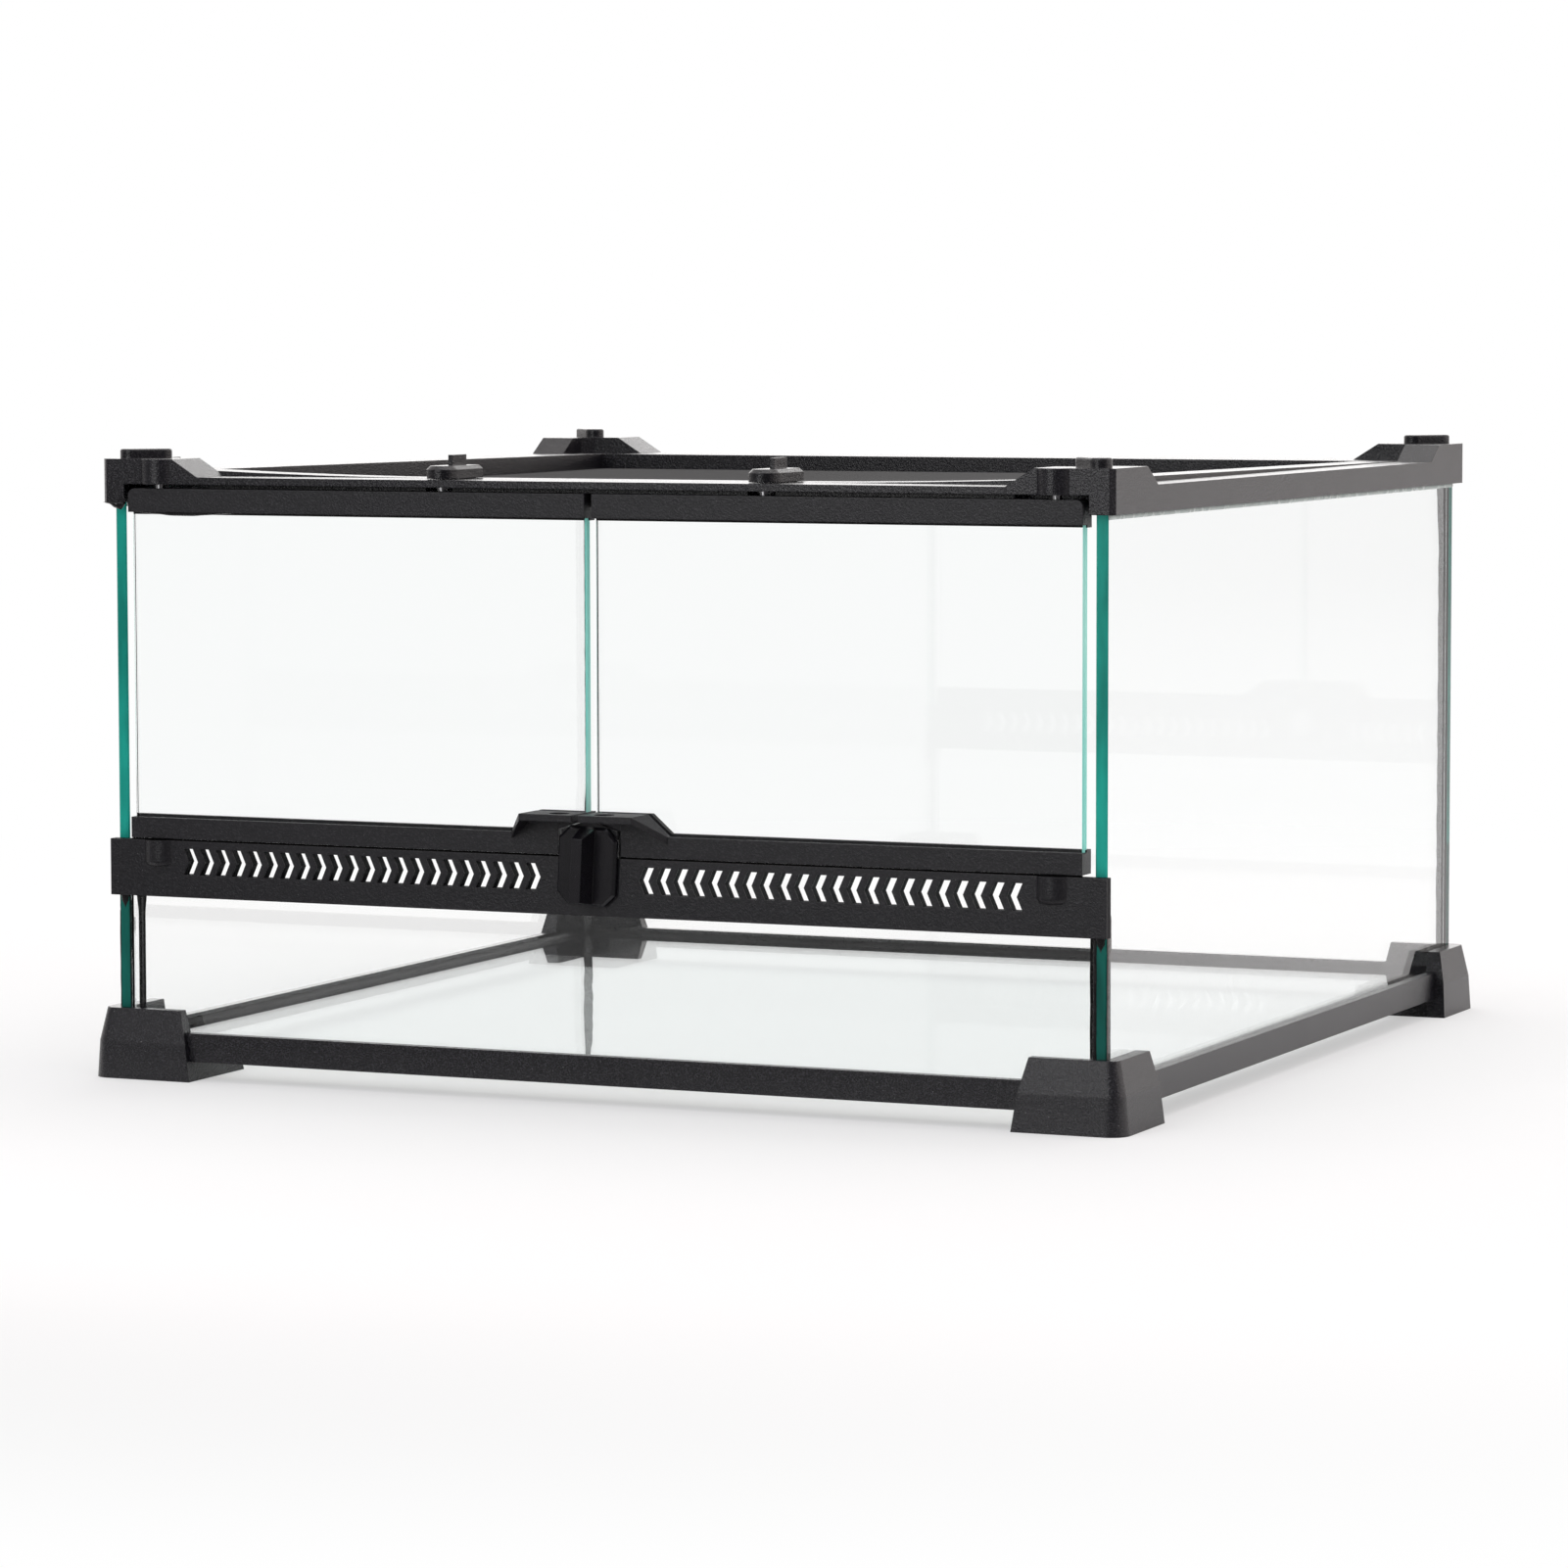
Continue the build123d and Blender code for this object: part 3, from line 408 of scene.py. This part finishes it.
toLeft, toRight, toFront, toRear = (-1, 0, 0), (1, 0, 0), (0, -1, 0), (0, 1, 0)
for node, body, thin, edge, clearEnds, bedded in (
    ("glass_left", "tank", 0, darkEdge, (), ()),
    ("glass_right", "tank", 0, darkEdge, (), ()),
    ("glass_rear", "tank", 1, darkEdge, (toLeft, toRight), ()),
    ("glass_sill", "tank", 1, darkEdge, (toLeft, toRight), ()),
    ("glass_floor", "tank", 2, darkEdge, (), (toLeft, toRight, toFront, toRear)),
    ("door_glass_left", "left_door", 1, paintedLitEdge, (toLeft,), ()),
    ("door_glass_right", "right_door", 1, paintedLitEdge, (toLeft,), ()),
):
    groundPane(node, body, thin, edge, clearEnds, bedded)
print("panes ground")


# silicone: uneven runs along corners and faces

sealant = {"step": 0.0015, "sink": 0.00004, "ripple": 140.0}


# value at t, from a list of (t, value) pairs
def along(values, t):
    for (t0, v0), (t1, v1) in zip(values, values[1:]):
        if t <= t1:
            share = (t - t0) / (t1 - t0)
            return v0 + (v1 - v0) * share * share * (3 - 2 * share)
    return values[-1][1]


# closed tube of sections from start along a direction; sectionAt(t, wobble) lists its corners
def sweptRun(bm, start, direction, length, sectionAt, seed):
    steps = max(12, int(length / sealant["step"]))
    rings = []
    for i in range(steps + 1):
        t = i / steps
        spot = start + direction * length * t
        wobble = [noise.noise(spot * sealant["ripple"] + Vector((seed, k * 7.3, 0))) for k in range(3)]
        rings.append([bm.verts.new(spot + offset) for offset in sectionAt(t, wobble)])
    for near, far in zip(rings, rings[1:]):
        for k in range(len(near)):
            bm.faces.new((near[k - 1], near[k], far[k], far[k - 1]))
    bm.faces.new(rings[0][::-1])
    bm.faces.new(rings[-1])


# fillet in a corner between faces that run off along sideA and sideB
def filletSection(sideA, sideB, sizes, waver):
    sink = -sealant["sink"]

    def section(t, wobble):
        size = along(sizes, t)
        reachA = size * (1 + waver * wobble[0])
        reachB = size * (1 + waver * wobble[1])
        dip = 0.34 + waver * wobble[2] / 2
        corner = (sideA + sideB) * sink
        middle = (sideA * reachA + sideB * reachB) * dip
        nearA = sideA * reachA * 0.66 + sideB * reachB * (dip - 0.2)
        nearB = sideB * reachB * 0.66 + sideA * reachA * (dip - 0.2)
        return [corner, sideA * reachA + sideB * sink, nearA, middle, nearB, sideB * reachB + sideA * sink]
    return section


# low mound on a face: widths and heights by t
def moundSection(across, out, widths, heights, waver):
    def section(t, wobble):
        half = along(widths, t) * (1 + waver * wobble[0]) / 2
        high = along(heights, t) * (1 + waver * wobble[1])
        drift = across * along(widths, t) * waver * wobble[2] / 4
        points = []
        for k in range(7):
            angle = math.pi * k / 6
            points.append(drift + across * half * math.cos(angle)
                          + out * (high * math.sin(angle) - sealant["sink"]))
        return points
    return section


def sealantPiece(name, body, material, runs, nodes=()):
    bm = bmesh.new()
    for seed, (start, direction, length, section) in enumerate(runs):
        sweptRun(bm, start, direction, length, section, seed * 3.7 + len(name))
    bmesh.ops.recalc_face_normals(bm, faces=bm.faces)
    for face in bm.faces:
        face.smooth = len(face.verts) == 4
    mesh = bpy.data.meshes.new(name)
    bm.to_mesh(mesh)
    bm.free()
    mesh.materials.append(material)
    piece = bpy.data.objects.new(name, mesh)
    bpy.context.scene.collection.objects.link(piece)
    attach(piece, body)
    if nodes:
        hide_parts(*nodes)


axisX, axisY, axisZ = Vector((1, 0, 0)), Vector((0, 1, 0)), Vector((0, 0, 1))
blackSilicone = materials["silicone"]
innerLow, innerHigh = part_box("glass_floor")
floorTop = innerHigh.z
beads = {
    "floor": {"sizes": [(0, 0.0022), (1, 0.0022)], "waver": 0.015},
    "front_left": {"sizes": [(0, 0.0031), (0.86, 0.0031), (1, 0.0046)], "waver": 0.03},
    "front_right": {"sizes": [(0, 0.0033), (1, 0.0033)], "waver": 0.05},
    "rear_left": {"sizes": [(0, 0.0034), (0.2, 0.003), (0.34, 0.0008), (1, 0.0011)], "waver": 0.4},
    "rear_right": {"sizes": [(0, 0.0034), (0.86, 0.0034), (1, 0.0044)], "waver": 0.08},
}

pulledBead = {"offCorner": 0.0036, "heights": [(0, 0.0013), (1, 0.0016)]}

floorRuns = []
for x, y, direction, sideA, length in (
    (innerLow.x, innerLow.y, axisX, axisY, innerHigh.x - innerLow.x),
    (innerLow.x, innerHigh.y, axisX, -axisY, innerHigh.x - innerLow.x),
    (innerLow.x, innerLow.y, axisY, axisX, innerHigh.y - innerLow.y),
    (innerHigh.x, innerLow.y, axisY, -axisX, innerHigh.y - innerLow.y),
):
    section = filletSection(sideA, axisZ, **beads["floor"])
    floorRuns.append((Vector((x, y, floorTop)), direction, length, section))
sealantPiece("floor_sealant", "tank", flatSilicone, floorRuns, ["seam_floor"])

for side, sideName in ((-1, "left"), (1, "right")):
    for end, endName in ((-1, "front"), (1, "rear")):
        place = endName + "_" + sideName
        low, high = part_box("seam_" + place)
        corner = Vector((innerHigh.x if side > 0 else innerLow.x, innerHigh.y if end > 0 else innerLow.y, floorTop))
        section = filletSection(axisX * -side, axisY * -end, **beads[place])
        if place == "front_left":
            # smoothed off the corner, so a clear line is left beside it
            corner.x += pulledBead["offCorner"]
            section = moundSection(axisX, axisY, beads[place]["sizes"], pulledBead["heights"], beads[place]["waver"])
        run = (corner, axisZ, high.z - floorTop, section)
        sealantPiece("seam_" + place + "_run", "tank", blackSilicone, [run], ["seam_" + place])


# sealant squeezed out at the front corners, from the feet up to the vent bar
ventLow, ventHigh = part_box("vent_bar")
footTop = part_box("foot_front_right")[1].z
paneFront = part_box("glass_sill")[0].y
paneLow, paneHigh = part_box("glass_right")
squeeze = {
    "jointWidth": {"left": 0.0005, "right": 0.0015}, "jointHeight": 0.00035,
    "smearFrom": 0.067, "smearTo": 0.088, "smearWidth": 0.0048, "thinWidth": 0.0019, "smearHeight": 0.0004,
    "dripLength": 0.006, "dripWidth": 0.0044, "dripHeight": 0.0009,
}


def frontCornerSealant(side, sideName):
    jointTall = ventLow.z - footTop + 0.001
    start = Vector((innerHigh.x * side, paneFront, footTop - 0.001))
    jointWidth = squeeze["jointWidth"][sideName]
    widths = [(0, jointWidth), (1, jointWidth)]
    heights = [(0, squeeze["jointHeight"]), (1, squeeze["jointHeight"])]
    joint = (start, axisZ, jointTall, moundSection(axisX, -axisY, widths, heights, 0.3))
    drip = (Vector((side * (paneLow.x + 0.0024), paneFront, ventLow.z + 0.0002)), -axisZ, squeeze["dripLength"],
            moundSection(axisX, -axisY, [(0, squeeze["dripWidth"]), (0.4, squeeze["dripWidth"] * 0.8), (1, 0.0003)],
                         [(0, squeeze["dripHeight"]), (1, 0.0002)], 0.25))
    sealantPiece("front_joint_" + sideName, "tank", blackSilicone, [joint, drip])
    face = side * paneHigh.x
    wide = (Vector((face, paneFront + squeeze["smearWidth"] / 2, squeeze["smearFrom"])), axisZ,
            squeeze["smearTo"] - squeeze["smearFrom"],
            moundSection(axisY, axisX * side, [(0, 0.0015), (0.2, squeeze["smearWidth"]), (0.8, squeeze["smearWidth"]),
                                               (1, 0.001)],
                         [(0, 0.0001), (0.3, squeeze["smearHeight"]), (1, 0.0001)], 0.15))
    thin = (Vector((face, paneFront + squeeze["thinWidth"] / 2, footTop - 0.001)), axisZ,
            squeeze["smearFrom"] - footTop + 0.004,
            moundSection(axisY, axisX * side, [(0, squeeze["thinWidth"]), (1, squeeze["thinWidth"])],
                         [(0, squeeze["smearHeight"] * 0.7), (1, squeeze["smearHeight"])], 0.3))
    sealantPiece("outer_smear_" + sideName, "tank", smearSilicone, [wide, thin])


frontCornerSealant(-1, "left")
frontCornerSealant(1, "right")


# pale glue line under the top frame, on the outer faces of the side panes
glueLine = {"width": 0.002, "height": 0.0004}
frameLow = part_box("frame_corner_front_right")[0].z
for side, sideName in ((-1, "left"), (1, "right")):
    start = Vector((side * paneHigh.x, paneFront + 0.0004, frameLow - glueLine["width"] / 2))
    section = moundSection(axisZ, axisX * side, [(0, glueLine["width"]), (1, glueLine["width"])],
                           [(0, glueLine["height"]), (1, glueLine["height"])], 0.05)
    sealantPiece("frame_glue_" + sideName, "tank", paleGlue,
                 [(start, axisY, paneHigh.y - paneFront - 0.001, section)])


# sealant that hangs below the left corner block, and glue below the left door's top rail
legLow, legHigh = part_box("frame_corner_front_left")
lumps = (Vector((legLow.x + 0.0008, legLow.y + 0.003, legLow.z)), axisX, 0.0105,
         moundSection(axisY, -axisZ, [(0, 0.001), (0.2, 0.004), (0.8, 0.005), (1, 0.002)],
                      [(0, 0.0001), (0.35, 0.0012), (0.6, 0.0027), (0.85, 0.0034), (1, 0.001)], 1.1))
sealantPiece("corner_lumps", "tank", blackSilicone, [lumps])
railLow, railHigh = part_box("door_top_rail_left")
bulge = (Vector((railLow.x + 0.004, railLow.y + 0.0014, railLow.z + 0.001)), axisX, 0.046,
         moundSection(axisY, -axisZ, [(0, 0.0018), (1, 0.0018)],
                      [(0, 0.0001), (0.2, 0.001), (0.45, 0.0014), (0.75, 0.001), (1, 0.0001)], 0.35))
sealantPiece("rail_glue", "left_door", blackSilicone, [bulge])


# painted shade: dark strips on top of the vent bar's wall, close under the doors' bottom rails, close the gap so that
# it reads dark
shadeStrip = {"width": 0.0016, "gap": 0.00005, "fromFront": 0.0008, "start": 0.0138, "end": 0.2122}
railLow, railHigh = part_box("door_bottom_rail_right")
ventTop = railLow.z - 0.0008
for side, sideName in ((-1, "left"), (1, "right")):
    start = Vector((side * shadeStrip["start"], railLow.y + shadeStrip["fromFront"], ventTop))
    height = railLow.z - shadeStrip["gap"] - ventTop
    section = moundSection(axisY, axisZ, [(0, shadeStrip["width"]), (1, shadeStrip["width"])],
                           [(0, height), (1, height)], 0.0)
    sealantPiece("dust_strip_" + sideName, "tank", shadeStripBlack,
                 [(start, axisX * side, shadeStrip["end"] - shadeStrip["start"], section)])
print("seams run")


# woven wire screen

screenWire = {"spacing": 0.0014, "thickness": 0.00045}


def geometryTree(name, inputs):
    tree = bpy.data.node_groups.new(name, "GeometryNodeTree")
    tree.interface.new_socket("Geometry", in_out="OUTPUT", socket_type="NodeSocketGeometry")
    for label, kind in inputs:
        tree.interface.new_socket(label, in_out="INPUT", socket_type=kind)
    return tree, addNode(tree, "NodeGroupInput", (-1400, 0)), addNode(tree, "NodeGroupOutput", (1200, 0))


def buildScreenTree():
    tree, enter, leave = geometryTree("wovenScreen", [
        ("Width", "NodeSocketFloat"), ("Depth", "NodeSocketFloat"), ("Spacing", "NodeSocketFloat"),
        ("Thickness", "NodeSocketFloat"), ("Wire", "NodeSocketMaterial")])
    link = tree.links.new
    joined = addNode(tree, "GeometryNodeJoinGeometry", (500, 0))
    for row, (span, length) in enumerate((("Width", "Depth"), ("Depth", "Width"))):
        y = 400 - 700 * row
        gaps = mathNode(tree, "DIVIDE", (-1100, y), enter.outputs[span], enter.outputs["Spacing"])
        whole = mathNode(tree, "FLOOR", (-950, y), gaps)
        run = mathNode(tree, "MULTIPLY", (-800, y - 150), whole, enter.outputs["Spacing"])
        start = mathNode(tree, "MULTIPLY", (-650, y - 150), run, -0.5)
        half = mathNode(tree, "MULTIPLY", (-650, y - 300), enter.outputs["Thickness"], 0.5 if row else -0.5)
        count = mathNode(tree, "ADD", (-800, y), whole, 1.0)
        line = addNode(tree, "GeometryNodeMeshLine", (-350, y), mode="OFFSET")
        place = addNode(tree, "ShaderNodeCombineXYZ", (-500, y - 150))
        step = addNode(tree, "ShaderNodeCombineXYZ", (-500, y - 300))
        axis = 1 if row else 0
        link(start, place.inputs[axis])
        link(half, place.inputs[2])
        link(enter.outputs["Spacing"], step.inputs[axis])
        link(count, line.inputs["Count"])
        link(place.outputs[0], line.inputs["Start Location"])
        link(step.outputs[0], line.inputs["Offset"])
        wire = addNode(tree, "GeometryNodeMeshCylinder", (-350, y - 350), fill_type="NGON")
        wire.inputs["Vertices"].default_value = 6
        radius = mathNode(tree, "MULTIPLY", (-500, y - 450), enter.outputs["Thickness"], 0.5)
        link(radius, wire.inputs["Radius"])
        link(enter.outputs[length], wire.inputs["Depth"])
        laid = addNode(tree, "GeometryNodeTransform", (-150, y - 350))
        laid.inputs["Rotation"].default_value = (0, math.pi / 2, 0) if row else (math.pi / 2, 0, 0)
        link(wire.outputs["Mesh"], laid.inputs["Geometry"])
        spread = addNode(tree, "GeometryNodeInstanceOnPoints", (150, y))
        link(line.outputs["Mesh"], spread.inputs["Points"])
        link(laid.outputs[0], spread.inputs["Instance"])
        link(spread.outputs[0], joined.inputs[0])
    solid = addNode(tree, "GeometryNodeRealizeInstances", (700, 0))
    finish = addNode(tree, "GeometryNodeSetMaterial", (900, 0))
    link(joined.outputs[0], solid.inputs[0])
    link(solid.outputs[0], finish.inputs["Geometry"])
    link(enter.outputs["Wire"], finish.inputs["Material"])
    link(finish.outputs[0], leave.inputs[0])
    return tree


def meshFromTree(name, tree, values):
    holder = bpy.data.objects.new(name + "_holder", bpy.data.meshes.new(name + "_holder"))
    bpy.context.scene.collection.objects.link(holder)
    modifier = holder.modifiers.new(name, "NODES")
    modifier.node_group = tree
    for item in tree.interface.items_tree:
        if item.item_type == "SOCKET" and item.in_out == "INPUT" and item.name in values:
            modifier[item.identifier] = values[item.name]
    bpy.context.view_layer.update()
    evaluated = holder.evaluated_get(bpy.context.evaluated_depsgraph_get())
    mesh = bpy.data.meshes.new_from_object(evaluated)
    bpy.data.objects.remove(holder)
    piece = bpy.data.objects.new(name, mesh)
    bpy.context.scene.collection.objects.link(piece)
    return piece


low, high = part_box("lid_mesh")
screen = meshFromTree("lid_screen", buildScreenTree(), {
    "Width": high.x - low.x, "Depth": high.y - low.y, "Spacing": screenWire["spacing"],
    "Thickness": screenWire["thickness"], "Wire": materials["screen_mesh"]})
screen.data.transform(Matrix.Translation((low + high) / 2))
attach(screen, "screen_lid")
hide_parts("lid_mesh")
print("screen woven:", len(screen.data.polygons), "faces")


# floor, world, lamps and camera

studio = {
    "floorRadius": 9.0,
    "floorColour": 0.93,
    "frontColour": 0.16,
    "nearWhite": (0.4, 1.1),
    "nearGlow": 0.45,
    "frontFade": (0.55, 1.3),
    "mirrorFade": (0.23, 0.32),
    # tint by bearing: cool in front, warm to the right
    "tints": [(0.0, (1, 0.96, 0.94)), (0.3, (1, 0.97, 0.96)), (0.48, (0.94, 0.93, 1)), (0.66, (0.94, 0.93, 1)),
              (0.76, (1, 0.89, 0.85)), (1.0, (1, 0.96, 0.94))],
    "skyTop": 0.85,
    # level by bearing: 0 and 1 behind, 0.5 in front, 0.75 to the right
    "bearings": [(0.0, 1.0), (0.25, 0.85), (0.36, 0.3), (0.45, 0.14), (0.52, 0.06), (0.66, 0.09),
                 (0.74, 0.9), (1.0, 1.0)],
}


def whiteForView(tree, place):
    path = addNode(tree, "ShaderNodeLightPath", place)
    seen = mathNode(tree, "MAXIMUM", (place[0] + 200, place[1]), path.outputs["Is Camera Ray"],
                    path.outputs["Is Transmission Ray"])
    return seen


def buildFloor():
    bm = bmesh.new()
    bmesh.ops.create_circle(bm, cap_ends=True, segments=64, radius=studio["floorRadius"])
    mesh = bpy.data.meshes.new("paleFloor")
    bm.to_mesh(mesh)
    bm.free()
    floor = bpy.data.objects.new("paleFloor", mesh)
    bpy.context.scene.collection.objects.link(floor)
    material, tree, shader, out = newMaterial("palePaper")
    spot = addNode(tree, "ShaderNodeTexCoord", (-1200, 0)).outputs["Object"]
    reach = addNode(tree, "ShaderNodeVectorMath", (-1000, 0), operation="LENGTH")
    tree.links.new(spot, reach.inputs[0])
    far = fadeNode(tree, (-800, 0), reach.outputs["Value"], *studio["nearWhite"])
    parts = addNode(tree, "ShaderNodeSeparateXYZ", (-1000, -300))
    tree.links.new(spot, parts.inputs[0])
    toFront = mathNode(tree, "MULTIPLY", (-900, -300), parts.outputs["Y"], -1.0)
    front = fadeNode(tree, (-700, -300), toFront, *studio["frontFade"])
    # mirrored in the object, the floor in front is dark
    path = addNode(tree, "ShaderNodeLightPath", (-900, -600))
    near = fadeNode(tree, (-700, -500), toFront, *studio["mirrorFade"])
    # refracted rays count as glossy too, so they are taken out
    reflected = mathNode(tree, "SUBTRACT", (-700, -650), path.outputs["Is Glossy Ray"],
                         path.outputs["Is Transmission Ray"], clamp=True)
    mirrored = mathNode(tree, "MULTIPLY", (-550, -500), near, reflected)
    front = mathNode(tree, "MAXIMUM", (-500, -300), front, mirrored)
    tone = rampNode(tree, (-450, -300), front, [(0.0, studio["floorColour"]), (1.0, studio["frontColour"])])
    tree.links.new(tone, shader.inputs["Base Color"])
    setInputs(shader, Roughness=0.9, Specular_IOR_Level=0.0)
    glow = addNode(tree, "ShaderNodeEmission", (0, -200))
    lit = mathNode(tree, "MAXIMUM", (-200, 200), far, studio["nearGlow"])
    seen = mathNode(tree, "MULTIPLY", (0, 300), lit, whiteForView(tree, (-400, 400)))
    mix = addNode(tree, "ShaderNodeMixShader", (300, 0))
    tree.links.new(seen, mix.inputs[0])
    tree.links.new(shader.outputs[0], mix.inputs[1])
    tree.links.new(glow.outputs[0], mix.inputs[2])
    tree.links.new(mix.outputs[0], out.inputs["Surface"])
    mesh.materials.append(material)
    return floor


def buildWorld():
    world = bpy.data.worlds.new("paleStudio")
    bpy.context.scene.world = world
    world.use_nodes = True
    tree = world.node_tree
    sky = tree.nodes["Background"]
    seen = whiteForView(tree, (-800, 500))
    tint = addNode(tree, "ShaderNodeMix", (-200, 300), data_type="RGBA")
    tree.links.new(seen, tint.inputs[0])
    tint.inputs[7].default_value = (1, 1, 1, 1)
    tree.links.new(tint.outputs[2], sky.inputs["Color"])
    spot = addNode(tree, "ShaderNodeTexCoord", (-1600, 0)).outputs["Generated"]
    parts = addNode(tree, "ShaderNodeSeparateXYZ", (-1400, 0))
    tree.links.new(spot, parts.inputs[0])
    # bearing: 0 straight in front, positive to the right, as a share of a half turn
    toFront = mathNode(tree, "MULTIPLY", (-1200, -150), parts.outputs["Y"], -1.0)
    angle = mathNode(tree, "ARCTAN2", (-1050, 0), parts.outputs["X"], toFront)
    share = mathNode(tree, "MULTIPLY_ADD", (-900, 0), angle, 0.5 / math.pi)
    share.node.inputs[2].default_value = 0.5
    around = rampNode(tree, (-700, 0), share, studio["bearings"])
    tree.links.new(rampNode(tree, (-700, 300), share, studio["tints"]), tint.inputs[6])
    up = fadeNode(tree, (-800, -300), parts.outputs["Z"], 0.25, 0.8)
    topped = addNode(tree, "ShaderNodeMix", (-400, 0), data_type="FLOAT")
    tree.links.new(up, topped.inputs[0])
    tree.links.new(around, topped.inputs[2])
    topped.inputs[3].default_value = studio["skyTop"]
    shown = addNode(tree, "ShaderNodeMix", (-200, 0), data_type="FLOAT")
    tree.links.new(seen, shown.inputs[0])
    tree.links.new(topped.outputs[0], shown.inputs[2])
    shown.inputs[3].default_value = 1.0
    tree.links.new(shown.outputs[0], sky.inputs["Strength"])
    return world


lamps = {
    "rearSoftbox": {"place": (-1.1, 3.2, 1.3), "aim": (-0.1, 0, 0.3), "size": (3.0, 2.4), "power": 30.0},
    "overhead": {"place": (0.1, 0.3, 1.9), "aim": (0, 0, 0.1), "size": (1.6, 1.6), "power": 10.0},
    "rightSoftbox": {"place": (2.0, 0.5, 1.0), "aim": (0, 0, 0.15), "size": (1.2, 1.2), "power": 5.0},
    "frontSoftbox": {"place": (-0.36, -1.75, 0.74), "aim": (0.15, -0.2, 0.15), "size": (0.6, 1.2), "power": 7.5},
}


def buildLamps():
    for name, lamp in lamps.items():
        light = bpy.data.lights.new(name, "AREA")
        light.shape = "RECTANGLE"
        light.size, light.size_y = lamp["size"]
        light.energy = lamp["power"]
        holder = bpy.data.objects.new(name, light)
        bpy.context.scene.collection.objects.link(holder)
        holder.location = lamp["place"]
        holder.visible_camera = False
        holder.visible_transmission = False
        away = Vector(lamp["place"]) - Vector(lamp["aim"])
        holder.rotation_euler = away.to_track_quat("Z", "Y").to_euler()


viewpoint = {
    "yaw": 23.93,          # degrees, turned left of straight ahead
    "pitch": 4.71,         # degrees, looking down
    "roll": -0.11,
    "place": (1.006, -2.29525, 0.320),
    "lens": 131.84,
}


def buildCamera():
    camera = bpy.data.cameras.new("photoCamera")
    camera.lens = viewpoint["lens"]
    camera.sensor_width = 36.0
    camera.sensor_fit = "HORIZONTAL"
    camera.clip_end = 60.0
    holder = bpy.data.objects.new("photoCamera", camera)
    bpy.context.scene.collection.objects.link(holder)
    yaw, pitch, roll = (math.radians(viewpoint[key]) for key in ("yaw", "pitch", "roll"))
    ahead = Vector((-math.sin(yaw) * math.cos(pitch), math.cos(yaw) * math.cos(pitch), -math.sin(pitch)))
    right = Vector((math.cos(yaw), math.sin(yaw), 0))
    up = right.cross(ahead)
    rightRolled = right * math.cos(roll) + up * math.sin(roll)
    upRolled = up * math.cos(roll) - right * math.sin(roll)
    turn = Matrix((rightRolled, upRolled, -ahead)).transposed()
    holder.matrix_world = Matrix.Translation(viewpoint["place"]) @ turn.to_4x4()
    bpy.context.scene.camera = holder


buildFloor()
buildWorld()
buildLamps()
buildCamera()
bpy.context.scene.view_settings.view_transform = "Standard"
print("studio set")
